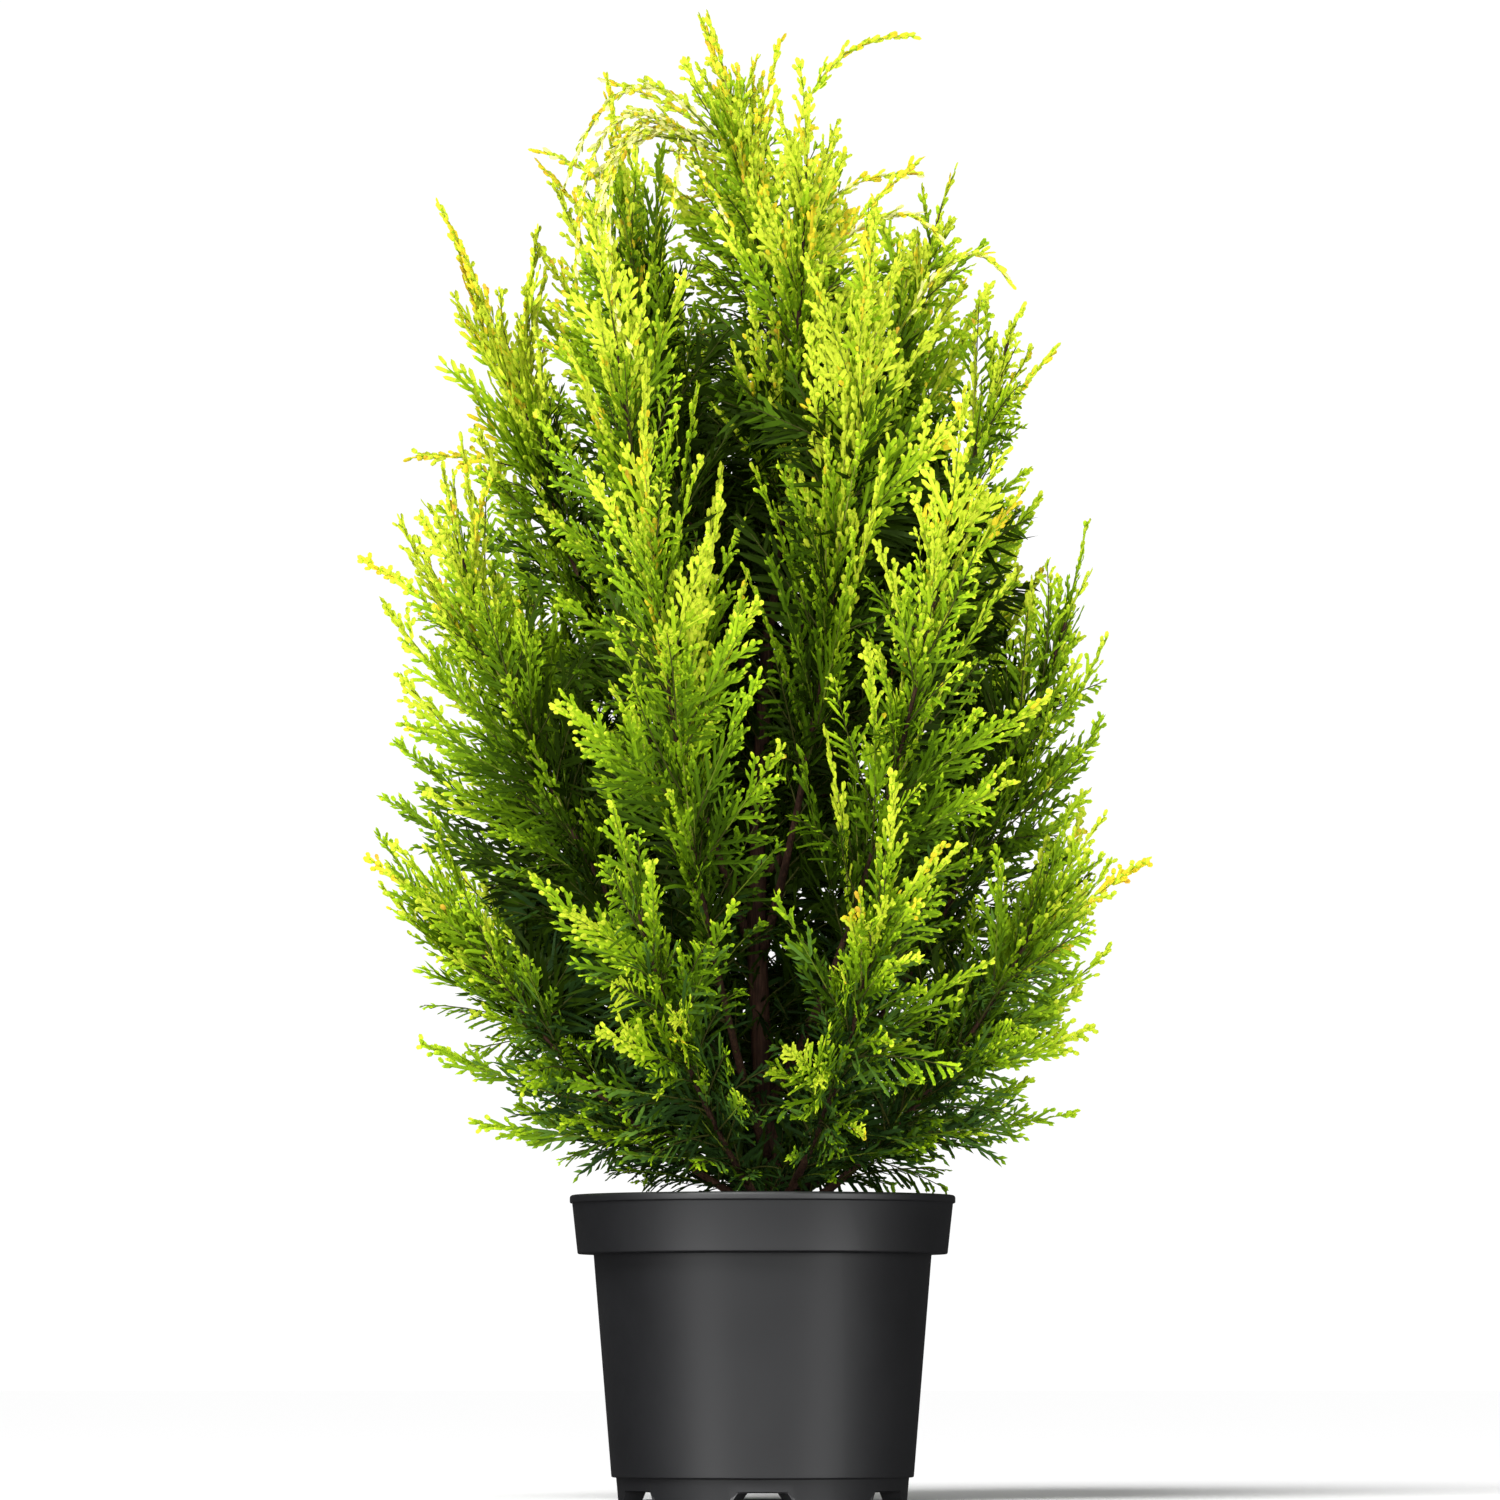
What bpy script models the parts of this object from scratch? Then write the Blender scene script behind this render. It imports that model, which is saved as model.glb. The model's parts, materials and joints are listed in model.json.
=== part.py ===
"""A young golden conifer with flat, ferny sprays of scale leaves, growing in a round plastic nursery pot.

Units are metres, +Z is up, and the origin is on the ground under the middle of the pot. The front is -Y.
Azimuths are degrees about the pot's axis: 0 is the front, 90 the right (+X), 180 the back.
"""

import math
import random

import bmesh
import bpy
from mathutils import Quaternion, Vector
from mathutils.bvhtree import BVHTree

MM = 0.001
GAP = 0.3 * MM  # clearance between touching solids
TAU = 2 * math.pi
UP = Vector((0, 0, 1))

# ---------------------------------------------------------------- pot, real sizes of a 3 litre nursery pot
POT_HEIGHT = 150 * MM
RIM_RADIUS = 95 * MM
LIP_HEIGHT = 4 * MM
LIP_OVERHANG = 1.2 * MM
BAND_HEIGHT = 29 * MM
BAND_FOOT_RADIUS = 91.2 * MM
SHOULDER_RADIUS = 83.2 * MM
BODY_FOOT_RADIUS = 74.4 * MM
FOOT_HEIGHT = 11.6 * MM
FOOT_RADIUS = 72.0 * MM
FOOT_GROUND_RADIUS = 71.0 * MM
FOOT_WIDTH = 2.6 * MM
FLOOR_HEIGHT = 7.0 * MM
WALL = 1.5 * MM
POT_STEPS = 24
NOTCH_COUNT = 6
NOTCH_DEPTH = 5.4 * MM
NOTCH_TOP_WIDTH = 15 * MM
NOTCH_FOOT_WIDTH = 23 * MM
NOTCH_CUT = 12 * MM  # how far the cutter reaches through the foot ring
DRAIN_COUNT = 6
DRAIN_RADIUS = 5 * MM
DRAIN_RING_RADIUS = 48 * MM
DRAIN_SIDES = 8

# ---------------------------------------------------------------- compost
COMPOST_TOP = 131 * MM
COMPOST_CROWN = 3 * MM  # the surface slopes down this far from the foot of the plant to the wall
COMPOST_CROWN_RADIUS = 26 * MM

# ---------------------------------------------------------------- trunk
TRUNK_FOOT = COMPOST_TOP + GAP
TRUNK_TOP = 590 * MM
TRUNK_FOOT_RADIUS = 6.6 * MM
TRUNK_TIP_RADIUS = 1.5 * MM
ROOT_FLARE = 3.4 * MM
ROOT_FLARE_HEIGHT = 9 * MM
TRUNK_FOOT_X = 10 * MM
TRUNK_SWAY = 5 * MM
TRUNK_POINTS = 14
TRUNK_ROUNDNESS = 4  # a curve's bevel_resolution: 12 sides

# ---------------------------------------------------------------- boughs and the masses of foliage they carry
# Each tier is a ring of limbs that leave the trunk outwards and swing upwards to their tips. The inner part of a
# limb is a bare bough, and from the share "leafy_from" on it is the stem of a mass of foliage. Radii are measured
# from the pot's axis, and "tip" is radius and height.
TIERS = (
    {
        "name": "skirt",
        "count": 8,
        "first_azimuth": -24,
        "fork": (0.138, 0.152),
        "tip": (0.146, 0.280),
        "leafy_from": 0.24,
        "reach": 0.104,
        "bough_radius": 2.7 * MM,
    },
    {
        "name": "lower",
        "count": 7,
        "first_azimuth": -19,
        "fork": (0.170, 0.215),
        "tip": (0.158, 0.450),
        "leafy_from": 0.33,
        "reach": 0.112,
        "bough_radius": 3.0 * MM,
    },
    {
        "name": "middle",
        "count": 6,
        "first_azimuth": 24,
        "fork": (0.270, 0.335),
        "tip": (0.122, 0.565),
        "leafy_from": 0.33,
        "reach": 0.104,
        "bough_radius": 2.6 * MM,
    },
    {
        "name": "upper",
        "count": 5,
        "first_azimuth": -58,
        "fork": (0.400, 0.450),
        "tip": (0.084, 0.640),
        "leafy_from": 0.33,
        "reach": 0.086,
        "bough_radius": 2.1 * MM,
    },
)
LIMB_SWING_ACROSS = 0.62  # the bend of a limb lies at these shares of the way out and up to its tip
LIMB_SWING_UP = 0.33
LEADER_TIP = Vector((-0.012, 0.004, 0.676))
LEADER_REACH = 0.080
BOUGH_TIP_RADIUS = 1.6 * MM
BOUGH_POINTS = 4
BOUGH_ROUNDNESS = 1  # 6 sides
SEED = 11
TIP_SCATTER = 0.07  # a tip lies up to this share nearer or further than its tier says
GOLDEN_SHARE = 0.618  # deals fork heights out so that neighbours in a ring leave the trunk well apart

# Long bare-tipped shoots that give the crown its broken outline: plume, tip across (X), tip height (Z)
LONG_SHOOTS = (
    ("leader", -0.0270, 0.7370),
    ("leader", 0.0090, 0.7240),
    ("leader", 0.0740, 0.7270),
    ("upper_1", -0.0770, 0.7000),
    ("upper_5", -0.1100, 0.6640),
    ("middle_5", -0.1600, 0.6410),
    ("upper_3", 0.1090, 0.6210),
    ("upper_2", 0.0760, 0.6530),
    ("middle_2", 0.1450, 0.5690),
    ("middle_5", -0.1740, 0.5160),
    ("lower_7", -0.1960, 0.4620),
    ("skirt_8", -0.1940, 0.3150),
    ("skirt_3", 0.1880, 0.3130),
)

# ---------------------------------------------------------------- the rule of growth inside one mass
# A mass is a three-sided stem with toothed sprays standing round it in a spiral. Each spray turns to where it has
# room: nearer its own stem than any other, off the limbs, off its neighbours and above the rim of the pot.
STEM_POINTS = 5
STEM_FOOT_RADIUS = 1.6 * MM
STEM_TIP_RADIUS = 0.8 * MM
GOLDEN_ANGLE = 137.5
SPRAYS = 7  # side sprays on one stem, which ends in a tip spray
SPRAY_ANGLE_FOOT = 50  # degrees between a side spray and its stem, at the foot and at the tip of the mass
SPRAY_ANGLE_TIP = 24
TIP_SPRAY = 0.70  # of the side sprays' reach
SPRAY_SINK = 3.0 * MM  # how far the root of a spray reaches past the middle of its stem
SPRAY_WIDTH = 0.40  # of a spray's length
SPRAY_THICKNESS = 0.024  # of a spray's length
SPRAY_BOW = 0.12  # how far a spray's end bends, as a share of its length
SPRAY_STALK = 0.18  # the midrib is full height from this share of the length on
NOTCH_RAKE = 0.015  # a notch lies this share of the length past its tooth, and this share as far out
NOTCH_SHARE = 0.42
FOUR_TEETH_FROM = 92 * MM  # a shorter spray has three teeth a side
SHOOT_WIDTH = 0.38
SHOOT_RADIUS = 1.1 * MM
OWN_SPACE_MARGIN = 1.0 * MM
LIMB_MARGIN = 0.8 * MM
LOWEST_LEAF = POT_HEIGHT + 2.5 * MM
UNDERSIDE_RISE = 0.5  # outside the rim the crown's underside rises at this slope
AXIS_SAMPLES = 9


# ================================================================ small helpers
def heading(azimuth):
    """The level unit vector that faces an azimuth."""
    angle = math.radians(azimuth)
    return Vector((math.sin(angle), -math.cos(angle), 0))


def mix(a, b, share):
    return a + (b - a) * share


def bezier(start, control, end, t):
    """A point on the quadratic curve from start to end."""
    return start * (1 - t) ** 2 + control * (2 * t * (1 - t)) + end * t**2


def bezier_direction(start, control, end, t):
    return ((control - start) * (1 - t) + (end - control) * t).normalized()


def material(name, colour, roughness):
    made = bpy.data.materials.new(name)
    made.use_nodes = True
    shader = made.node_tree.nodes["Principled BSDF"]
    shader.inputs["Base Color"].default_value = (*colour, 1)
    shader.inputs["Roughness"].default_value = roughness
    shader.inputs["Metallic"].default_value = 0
    made.diffuse_color = (*colour, 1)
    return made


def mesh_object(name, shape, collection, surface=None):
    """Turns a closed bmesh into an object in the collection, its faces looking out."""
    shape.normal_update()
    bmesh.ops.recalc_face_normals(shape, faces=shape.faces)
    mesh = bpy.data.meshes.new(name)
    shape.to_mesh(mesh)
    shape.free()
    made = bpy.data.objects.new(name, mesh)
    if surface:
        mesh.materials.append(surface)
    collection.objects.link(made)
    return made


def turned(name, profile, steps, collection, surface):
    """A solid of revolution. The profile is (radius, height) pairs that end on the axis and run down the outer side."""
    shape = bmesh.new()
    corners = [shape.verts.new((radius, 0, height)) for radius, height in profile]
    for upper, lower in zip(corners, corners[1:]):
        shape.edges.new((upper, lower))
    mesh = bpy.data.meshes.new(name)
    shape.to_mesh(mesh)
    shape.free()
    mesh.materials.append(surface)
    made = bpy.data.objects.new(name, mesh)
    collection.objects.link(made)
    screw = made.modifiers.new("Turn", "SCREW")
    screw.steps = steps
    screw.render_steps = steps
    screw.use_merge_vertices = True
    screw.merge_threshold = 0.00005
    screw.use_smooth_shade = True
    return made


def limb(name, path, radii, sides_resolution, collection, surface):
    """A tapering round limb along a list of points."""
    curve = bpy.data.curves.new(name, "CURVE")
    curve.dimensions = "3D"
    curve.bevel_depth = 1
    curve.bevel_resolution = sides_resolution
    curve.use_fill_caps = True
    spline = curve.splines.new("POLY")
    spline.points.add(len(path) - 1)
    for point, place, radius in zip(spline.points, path, radii):
        point.co = (*place, 1)
        point.radius = radius
    curve.materials.append(surface)
    made = bpy.data.objects.new(name, curve)
    collection.objects.link(made)
    return made


def shape_tree(shape):
    """A search tree of a bmesh's faces."""
    shape.verts.index_update()
    return BVHTree.FromBMesh(shape)


# ================================================================ pot and compost
def pot_outer_profile():
    """The pot's outer side from the rim down to the middle of its underside."""
    band_top = POT_HEIGHT - LIP_HEIGHT
    band_foot = POT_HEIGHT - BAND_HEIGHT
    return [
        (RIM_RADIUS - 1.6 * MM, POT_HEIGHT),
        (RIM_RADIUS, POT_HEIGHT - 1.0 * MM),
        (RIM_RADIUS, band_top + 0.6 * MM),
        (RIM_RADIUS - LIP_OVERHANG, band_top),
        (BAND_FOOT_RADIUS, band_foot + 0.8 * MM),
        (BAND_FOOT_RADIUS - 0.9 * MM, band_foot),
        (SHOULDER_RADIUS, band_foot),
        (BODY_FOOT_RADIUS, FOOT_HEIGHT),
        (FOOT_RADIUS, FOOT_HEIGHT - 0.4 * MM),
        (FOOT_GROUND_RADIUS, 0),
        (FOOT_GROUND_RADIUS - FOOT_WIDTH, 0),
        (FOOT_GROUND_RADIUS - FOOT_WIDTH, FLOOR_HEIGHT),
        (0, FLOOR_HEIGHT),
    ]


def pot_inner_profile(inset=0.0):
    """The pot's inner side from the middle of its floor up to the band, drawn in by an inset."""
    band_foot = POT_HEIGHT - BAND_HEIGHT
    step = band_foot + WALL + inset
    return [
        (0, FLOOR_HEIGHT + WALL),
        (FOOT_GROUND_RADIUS - WALL - inset, FLOOR_HEIGHT + WALL),
        (BODY_FOOT_RADIUS - WALL - inset, FOOT_HEIGHT + WALL),
        (SHOULDER_RADIUS - WALL - inset, step),
        (BAND_FOOT_RADIUS - WALL - inset, step),
    ]


def build_pot(collection, cutters, surface):
    profile = pot_inner_profile()
    profile.append((RIM_RADIUS - 2 * WALL, POT_HEIGHT - 0.5 * MM))
    profile += pot_outer_profile()
    pot = turned("pot", profile, POT_STEPS, collection, surface)

    for index in range(NOTCH_COUNT):
        direction = heading(360 * index / NOTCH_COUNT)
        across = direction.cross(UP)
        shape = bmesh.new()
        bmesh.ops.create_cube(shape, size=1)
        for corner in shape.verts:
            x, y, z = corner.co
            width = NOTCH_TOP_WIDTH if z > 0 else 2 * NOTCH_FOOT_WIDTH - NOTCH_TOP_WIDTH
            height = NOTCH_DEPTH if z > 0 else -NOTCH_DEPTH
            corner.co = direction * (FOOT_RADIUS + x * NOTCH_CUT) + across * (y * width) + UP * height
        mesh_object(f"notch_{index + 1}", shape, cutters)

    for index in range(DRAIN_COUNT):
        centre = heading(360 * (index + 0.5) / DRAIN_COUNT) * DRAIN_RING_RADIUS
        shape = bmesh.new()
        size = {"radius1": DRAIN_RADIUS, "radius2": DRAIN_RADIUS, "depth": 6 * WALL}
        bmesh.ops.create_cone(shape, cap_ends=True, segments=DRAIN_SIDES, **size)
        for corner in shape.verts:
            corner.co += centre + UP * (FLOOR_HEIGHT + WALL / 2)
        mesh_object(f"drain_{index + 1}", shape, cutters)

    cut = pot.modifiers.new("Notches and drains", "BOOLEAN")
    cut.operation = "DIFFERENCE"
    cut.operand_type = "COLLECTION"
    cut.collection = cutters
    cut.solver = "EXACT"
    return pot


def build_compost(collection, surface):
    wall = list(reversed(pot_inner_profile(GAP)))[:-1]
    floor = FLOOR_HEIGHT + WALL + GAP
    wall[-1] = (wall[-1][0], floor)
    top = [(0, COMPOST_TOP), (COMPOST_CROWN_RADIUS, COMPOST_TOP), (wall[0][0], COMPOST_TOP - COMPOST_CROWN)]
    return turned("compost", [*top, *wall, (0, floor)], POT_STEPS, collection, surface)


# ================================================================ trunk and boughs
def trunk_point(height):
    rise = (height - TRUNK_FOOT) / (TRUNK_TOP - TRUNK_FOOT)
    across = TRUNK_FOOT_X * (1 - rise) ** 4 - TRUNK_SWAY * math.sin(TAU * 0.9 * rise)
    depth = TRUNK_SWAY * 0.8 * math.sin(TAU * 0.7 * rise)
    return Vector((across, depth, height))


def trunk_radius(height):
    rise = (height - TRUNK_FOOT) / (TRUNK_TOP - TRUNK_FOOT)
    flare = ROOT_FLARE * math.exp(-(height - TRUNK_FOOT) / ROOT_FLARE_HEIGHT)
    return mix(TRUNK_FOOT_RADIUS, TRUNK_TIP_RADIUS, rise**0.85) + flare


def build_trunk(collection, surface):
    heights = [TRUNK_FOOT, TRUNK_FOOT + ROOT_FLARE_HEIGHT / 2, TRUNK_FOOT + ROOT_FLARE_HEIGHT * 1.5]
    above = TRUNK_POINTS - len(heights)
    heights += [mix(heights[-1], TRUNK_TOP, (step + 1) / above) for step in range(above)]
    path = [trunk_point(height) for height in heights]
    path[0].x, path[0].y = path[1].x, path[1].y  # the first stretch is upright, so its cut lies flat
    return limb("trunk", path, [trunk_radius(z) for z in heights], TRUNK_ROUNDNESS, collection, surface)


class Plume:
    """One mass of foliage: the curve of its stem, the bough that carries it and how far its sprays reach."""

    def __init__(self, name, azimuth, start, control, tip, leafy_from, reach, seed):
        self.name = name
        self.outward = heading(azimuth)
        self.limb = (start, control, tip)
        self.leafy_from = leafy_from
        self.tip = tip
        self.reach = reach
        self.seed = seed
        self.bough = None

    def point(self, t):
        """A point of the leafy stem, from its foot at 0 to its tip at 1."""
        return bezier(*self.limb, mix(self.leafy_from, 1, t))

    def direction(self, t):
        return bezier_direction(*self.limb, mix(self.leafy_from, 1, t))

    def samples(self):
        return [self.point(step / (AXIS_SAMPLES - 1)) for step in range(AXIS_SAMPLES)]

    def add_bough(self, radius):
        """The bare inner part of the limb."""
        shares = [self.leafy_from * step / (BOUGH_POINTS - 1) for step in range(BOUGH_POINTS)]
        path = [bezier(*self.limb, share) for share in shares]
        radii = [mix(radius, BOUGH_TIP_RADIUS, share / self.leafy_from) for share in shares]
        self.bough = (path, radii)


def limb_curve(azimuth, fork_height, bough_radius, tip):
    """A limb's start on the bark of the trunk, its bend and its tip."""
    trunk = trunk_point(fork_height)
    across = Vector((tip.x - trunk.x, tip.y - trunk.y, 0))
    control = trunk + across * LIMB_SWING_ACROSS + UP * (tip.z - fork_height) * LIMB_SWING_UP
    lead = (control - trunk).normalized()
    off_axis = trunk_radius(fork_height) + bough_radius * lead.z + GAP
    return trunk + across.normalized() * off_axis, control, tip


def build_plumes():
    """All masses, from the lowest ring up to the leader."""
    plumes = []
    chance = random.Random(SEED)
    for tier in TIERS:
        for index in range(tier["count"]):
            azimuth = tier["first_azimuth"] + 360 * index / tier["count"]
            fork_height = mix(*tier["fork"], index * GOLDEN_SHARE % 1)
            radius, height = tier["tip"]
            radius *= 1 + TIP_SCATTER * chance.uniform(-1, 1)
            height = mix(fork_height, height, 1 + TIP_SCATTER * chance.uniform(-1, 1))
            curve = limb_curve(azimuth, fork_height, tier["bough_radius"], heading(azimuth) * radius + UP * height)
            name = f"{tier['name']}_{index + 1}"
            plume = Plume(name, azimuth, *curve, tier["leafy_from"], tier["reach"], 100 + len(plumes))
            plume.add_bough(tier["bough_radius"])
            plumes.append(plume)
    foot = trunk_point(TRUNK_TOP)
    plumes.append(Plume("leader", 0, foot, (foot + LEADER_TIP) / 2, LEADER_TIP, 0, LEADER_REACH, 99))
    return plumes


# ================================================================ sprays of scale leaves
def twig_shape(path, radii):
    """A three-sided twig along a path, made by drawing out a triangle."""
    shape = bmesh.new()
    bmesh.ops.create_circle(shape, cap_ends=True, segments=3, radius=radii[0])
    turn = (path[1] - path[0]).to_track_quat("Z", "Y")
    for corner in shape.verts:
        corner.co = turn @ corner.co + path[0]
    end = shape.faces[:][0]
    for index in range(1, len(path)):
        drawn = bmesh.ops.extrude_face_region(shape, geom=[end, *end.edges])["geom"]
        end = next(item for item in drawn if isinstance(item, bmesh.types.BMFace))
        for corner in end.verts:
            spoke = (corner.co - path[index - 1]).normalized()
            corner.co = path[index] + spoke * radii[index]
    return shape


def spray_outline(teeth, width):
    """One side of a spray, root to tip, as shares of its length: swept teeth that shorten towards the tip."""
    corners = [(0.0, width * 0.06)]
    for tooth in range(teeth):
        share = tooth / (teeth - 1)
        along = mix(0.34, 0.86, share)
        across = width * 0.5 * mix(1, 0.42, share**1.3)
        corners.append((along, across))
        corners.append((along + NOTCH_RAKE, across * NOTCH_SHARE))
    return corners


def spray_shape(root, direction, normal, length, width=SPRAY_WIDTH, teeth=3, bow=SPRAY_BOW):
    """A blade with swept teeth, whose two faces rise from its edge to a bowed midrib."""
    side = direction.cross(normal).normalized()
    normal = side.cross(direction).normalized()
    rib = SPRAY_THICKNESS / 2

    def place(along, across, lift=0.0):
        bend = -bow * along**2 + lift
        return root + (direction * along + side * across + normal * bend) * length

    outline = spray_outline(teeth, width)
    middle = 4  # the notch behind the second tooth, where the midrib's two fans of faces meet
    shape = bmesh.new()
    tip = shape.verts.new(place(1, 0))
    sides = [[shape.verts.new(place(along, way * across)) for along, across in outline] + [tip] for way in (1, -1)]
    for lift in (rib, -rib):
        near = shape.verts.new(place(SPRAY_STALK, 0, lift))
        far = shape.verts.new(place(outline[middle][0], 0, lift))
        shape.faces.new((sides[0][0], sides[1][0], near))
        for edge in sides:
            for index, (a, b) in enumerate(zip(edge, edge[1:])):
                shape.faces.new((a, b, near if index < middle else far))
            shape.faces.new((edge[middle], far, near))
    return shape


class Space:
    """Says whether a shape keeps to its plume's own space and clear of every limb."""

    def __init__(self, plumes, limb_trees):
        self.axes = {plume.name: plume.samples() for plume in plumes}
        self.limb_trees = limb_trees

    def holds(self, plume, shape):
        own = self.axes[plume.name]
        others = [place for name, axis in self.axes.items() if name != plume.name for place in axis]
        for corner in self.tested_points(shape):
            overhang = max(0, math.hypot(corner.x, corner.y) - RIM_RADIUS)
            if corner.z < LOWEST_LEAF + overhang * UNDERSIDE_RISE:
                return False
            near = min((corner - place).length_squared for place in own) ** 0.5 + OWN_SPACE_MARGIN
            if any((corner - place).length_squared < near * near for place in others):
                return False
        tree = shape_tree(shape)
        return not any(tree.overlap(limb_tree) for limb_tree in self.limb_trees)

    @staticmethod
    def tested_points(shape):
        for corner in shape.verts:
            yield corner.co
        for edge in shape.edges:
            first, last = edge.verts
            steps = max(1, int((last.co - first.co).length / (6 * MM)))
            for step in range(1, steps):
                yield mix(first.co, last.co, step / steps)


def limb_tree(path, radii, sides=6):
    """A slightly swollen copy of a limb to test sprays against."""
    places = []
    faces = []
    for index, (place, radius) in enumerate(zip(path, radii)):
        ahead = path[min(index + 1, len(path) - 1)] - path[max(index - 1, 0)]
        turn = ahead.to_track_quat("Z", "Y")
        for side in range(sides):
            angle = TAU * side / sides
            spoke = Vector((math.cos(angle), math.sin(angle), 0)) * (radius * 1.1 + LIMB_MARGIN)
            places.append(place + turn @ spoke)
            if index:
                a = (index - 1) * sides + side
                b = (index - 1) * sides + (side + 1) % sides
                faces.append((a, b, b + sides, a + sides))
    return BVHTree.FromPolygons(places, faces)


# ================================================================ one mass of foliage
def stem_shape(plume):
    """The stem of a mass, which starts just clear of the limb that carries it."""
    start = GAP / (plume.tip - plume.point(0)).length
    steps = [mix(start, 1, step / (STEM_POINTS - 1)) for step in range(STEM_POINTS)]
    radii = [mix(STEM_FOOT_RADIUS, STEM_TIP_RADIUS, step / (STEM_POINTS - 1)) for step in range(STEM_POINTS)]
    return twig_shape([plume.point(t) for t in steps], radii)


def spray_plan(plume):
    """Where each side spray leaves the stem, round which side it first tries, and how far it reaches."""
    chance = random.Random(plume.seed)
    spiral = chance.uniform(0, 360)
    for index in range(SPRAYS):
        t = mix(0.04, 0.84, index / (SPRAYS - 1))
        spiral += GOLDEN_ANGLE
        reach = plume.reach * (1 - 0.35 * t) * chance.uniform(0.9, 1.15)
        yield t, spiral, mix(SPRAY_ANGLE_FOOT, SPRAY_ANGLE_TIP, t), reach


def fitted_spray(space, plume, plan, neighbours):
    """A spray that lies in one plane with its stem, turned round the stem and cut down until it has room."""
    t, spiral, angle, reach = plan
    lead = plume.direction(t)
    side = lead.cross(plume.outward).normalized()
    for share in (1.0, 0.84, 0.7, 0.58):
        for turn in (0, 35, -35, 70, -70, 110, -110, 150):
            spoke = Quaternion(lead, math.radians(spiral + turn)) @ side
            direction = lead * math.cos(math.radians(angle)) + spoke * math.sin(math.radians(angle))
            root = plume.point(t) - direction * SPRAY_SINK
            length = reach * share + SPRAY_SINK
            teeth = 4 if length > FOUR_TEETH_FROM else 3
            shape = spray_shape(root, direction, lead.cross(spoke), length, teeth=teeth)
            if space.holds(plume, shape):
                tree = shape_tree(shape)
                if not any(tree.overlap(other) for other in neighbours):
                    neighbours.append(tree)
                    return shape
            shape.free()
    return None


def spray_shapes(space, plume):
    """The tip spray, which goes straight on from the stem, and the side sprays, as far as they fit."""
    neighbours = []
    tip_plan = (1, plume.seed * GOLDEN_ANGLE, 0, plume.reach * TIP_SPRAY)
    found = [fitted_spray(space, plume, plan, neighbours) for plan in (tip_plan, *spray_plan(plume))]
    return [shape for shape in found if shape]


def long_shoot_shapes(plume, across, height):
    """A slender shoot that leaves the upper stem and ends in a narrow spray with its tip at a set place."""
    root = plume.point(0.72)
    depth = plume.tip.y * 0.4 if abs(across) > 0.1 else plume.tip.y * 0.8
    tip = Vector((across, depth, height))
    elbow = mix(root, tip, 0.45) + UP * (tip - root).length * 0.08
    lead = (tip - elbow).normalized()
    start = elbow - lead * SPRAY_SINK
    twig = twig_shape([root, elbow + lead * SPRAY_SINK], [SHOOT_RADIUS, SHOOT_RADIUS * 0.7])
    spray = spray_shape(start, lead, heading(0), (tip - start).length, width=SHOOT_WIDTH, teeth=3, bow=0)
    return [twig, spray]


def largest_body(shape):
    """Keeps the largest connected body of a bmesh: loose scraps and sealed hollows go."""
    left = set(shape.faces)
    bodies = []
    while left:
        front = [left.pop()]
        body = set(front)
        while front:
            face = front.pop()
            for edge in face.edges:
                for other in edge.link_faces:
                    if other in left:
                        left.discard(other)
                        body.add(other)
                        front.append(other)
        bodies.append(body)
    bodies.sort(key=len, reverse=True)
    scraps = [face for body in bodies[1:] for face in body]
    bmesh.ops.delete(shape, geom=scraps, context="FACES")
    loose = [corner for corner in shape.verts if not corner.link_faces]
    bmesh.ops.delete(shape, geom=loose, context="VERTS")


def build_mass(plume, space, collection, surface):
    """Stem, sprays and long shoots of one mass, fused into one solid."""
    name = f"foliage_{plume.name}"
    shapes = [stem_shape(plume), *spray_shapes(space, plume)]
    for owner, across, height in LONG_SHOOTS:
        if owner == plume.name:
            shapes += long_shoot_shapes(plume, across, height)

    pieces = bpy.data.collections.new(f"{name}_pieces")
    bpy.context.scene.collection.children.link(pieces)
    mass = mesh_object(name, shapes[0], collection, surface)
    for index, shape in enumerate(shapes[1:]):
        mesh_object(f"{name}_piece_{index + 1}", shape, pieces)
    join = mass.modifiers.new("Join", "BOOLEAN")
    join.operation = "UNION"
    join.operand_type = "COLLECTION"
    join.collection = pieces
    join.solver = "EXACT"

    graph = bpy.context.evaluated_depsgraph_get()
    fused = bpy.data.meshes.new_from_object(mass.evaluated_get(graph))
    mass.modifiers.clear()
    mass.data = fused
    for piece in list(pieces.objects):
        bpy.data.objects.remove(piece)
    bpy.data.collections.remove(pieces)

    shape = bmesh.new()
    shape.from_mesh(fused)
    bmesh.ops.triangulate(shape, faces=shape.faces)
    largest_body(shape)
    shape.to_mesh(fused)
    shape.free()
    return mass


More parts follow.
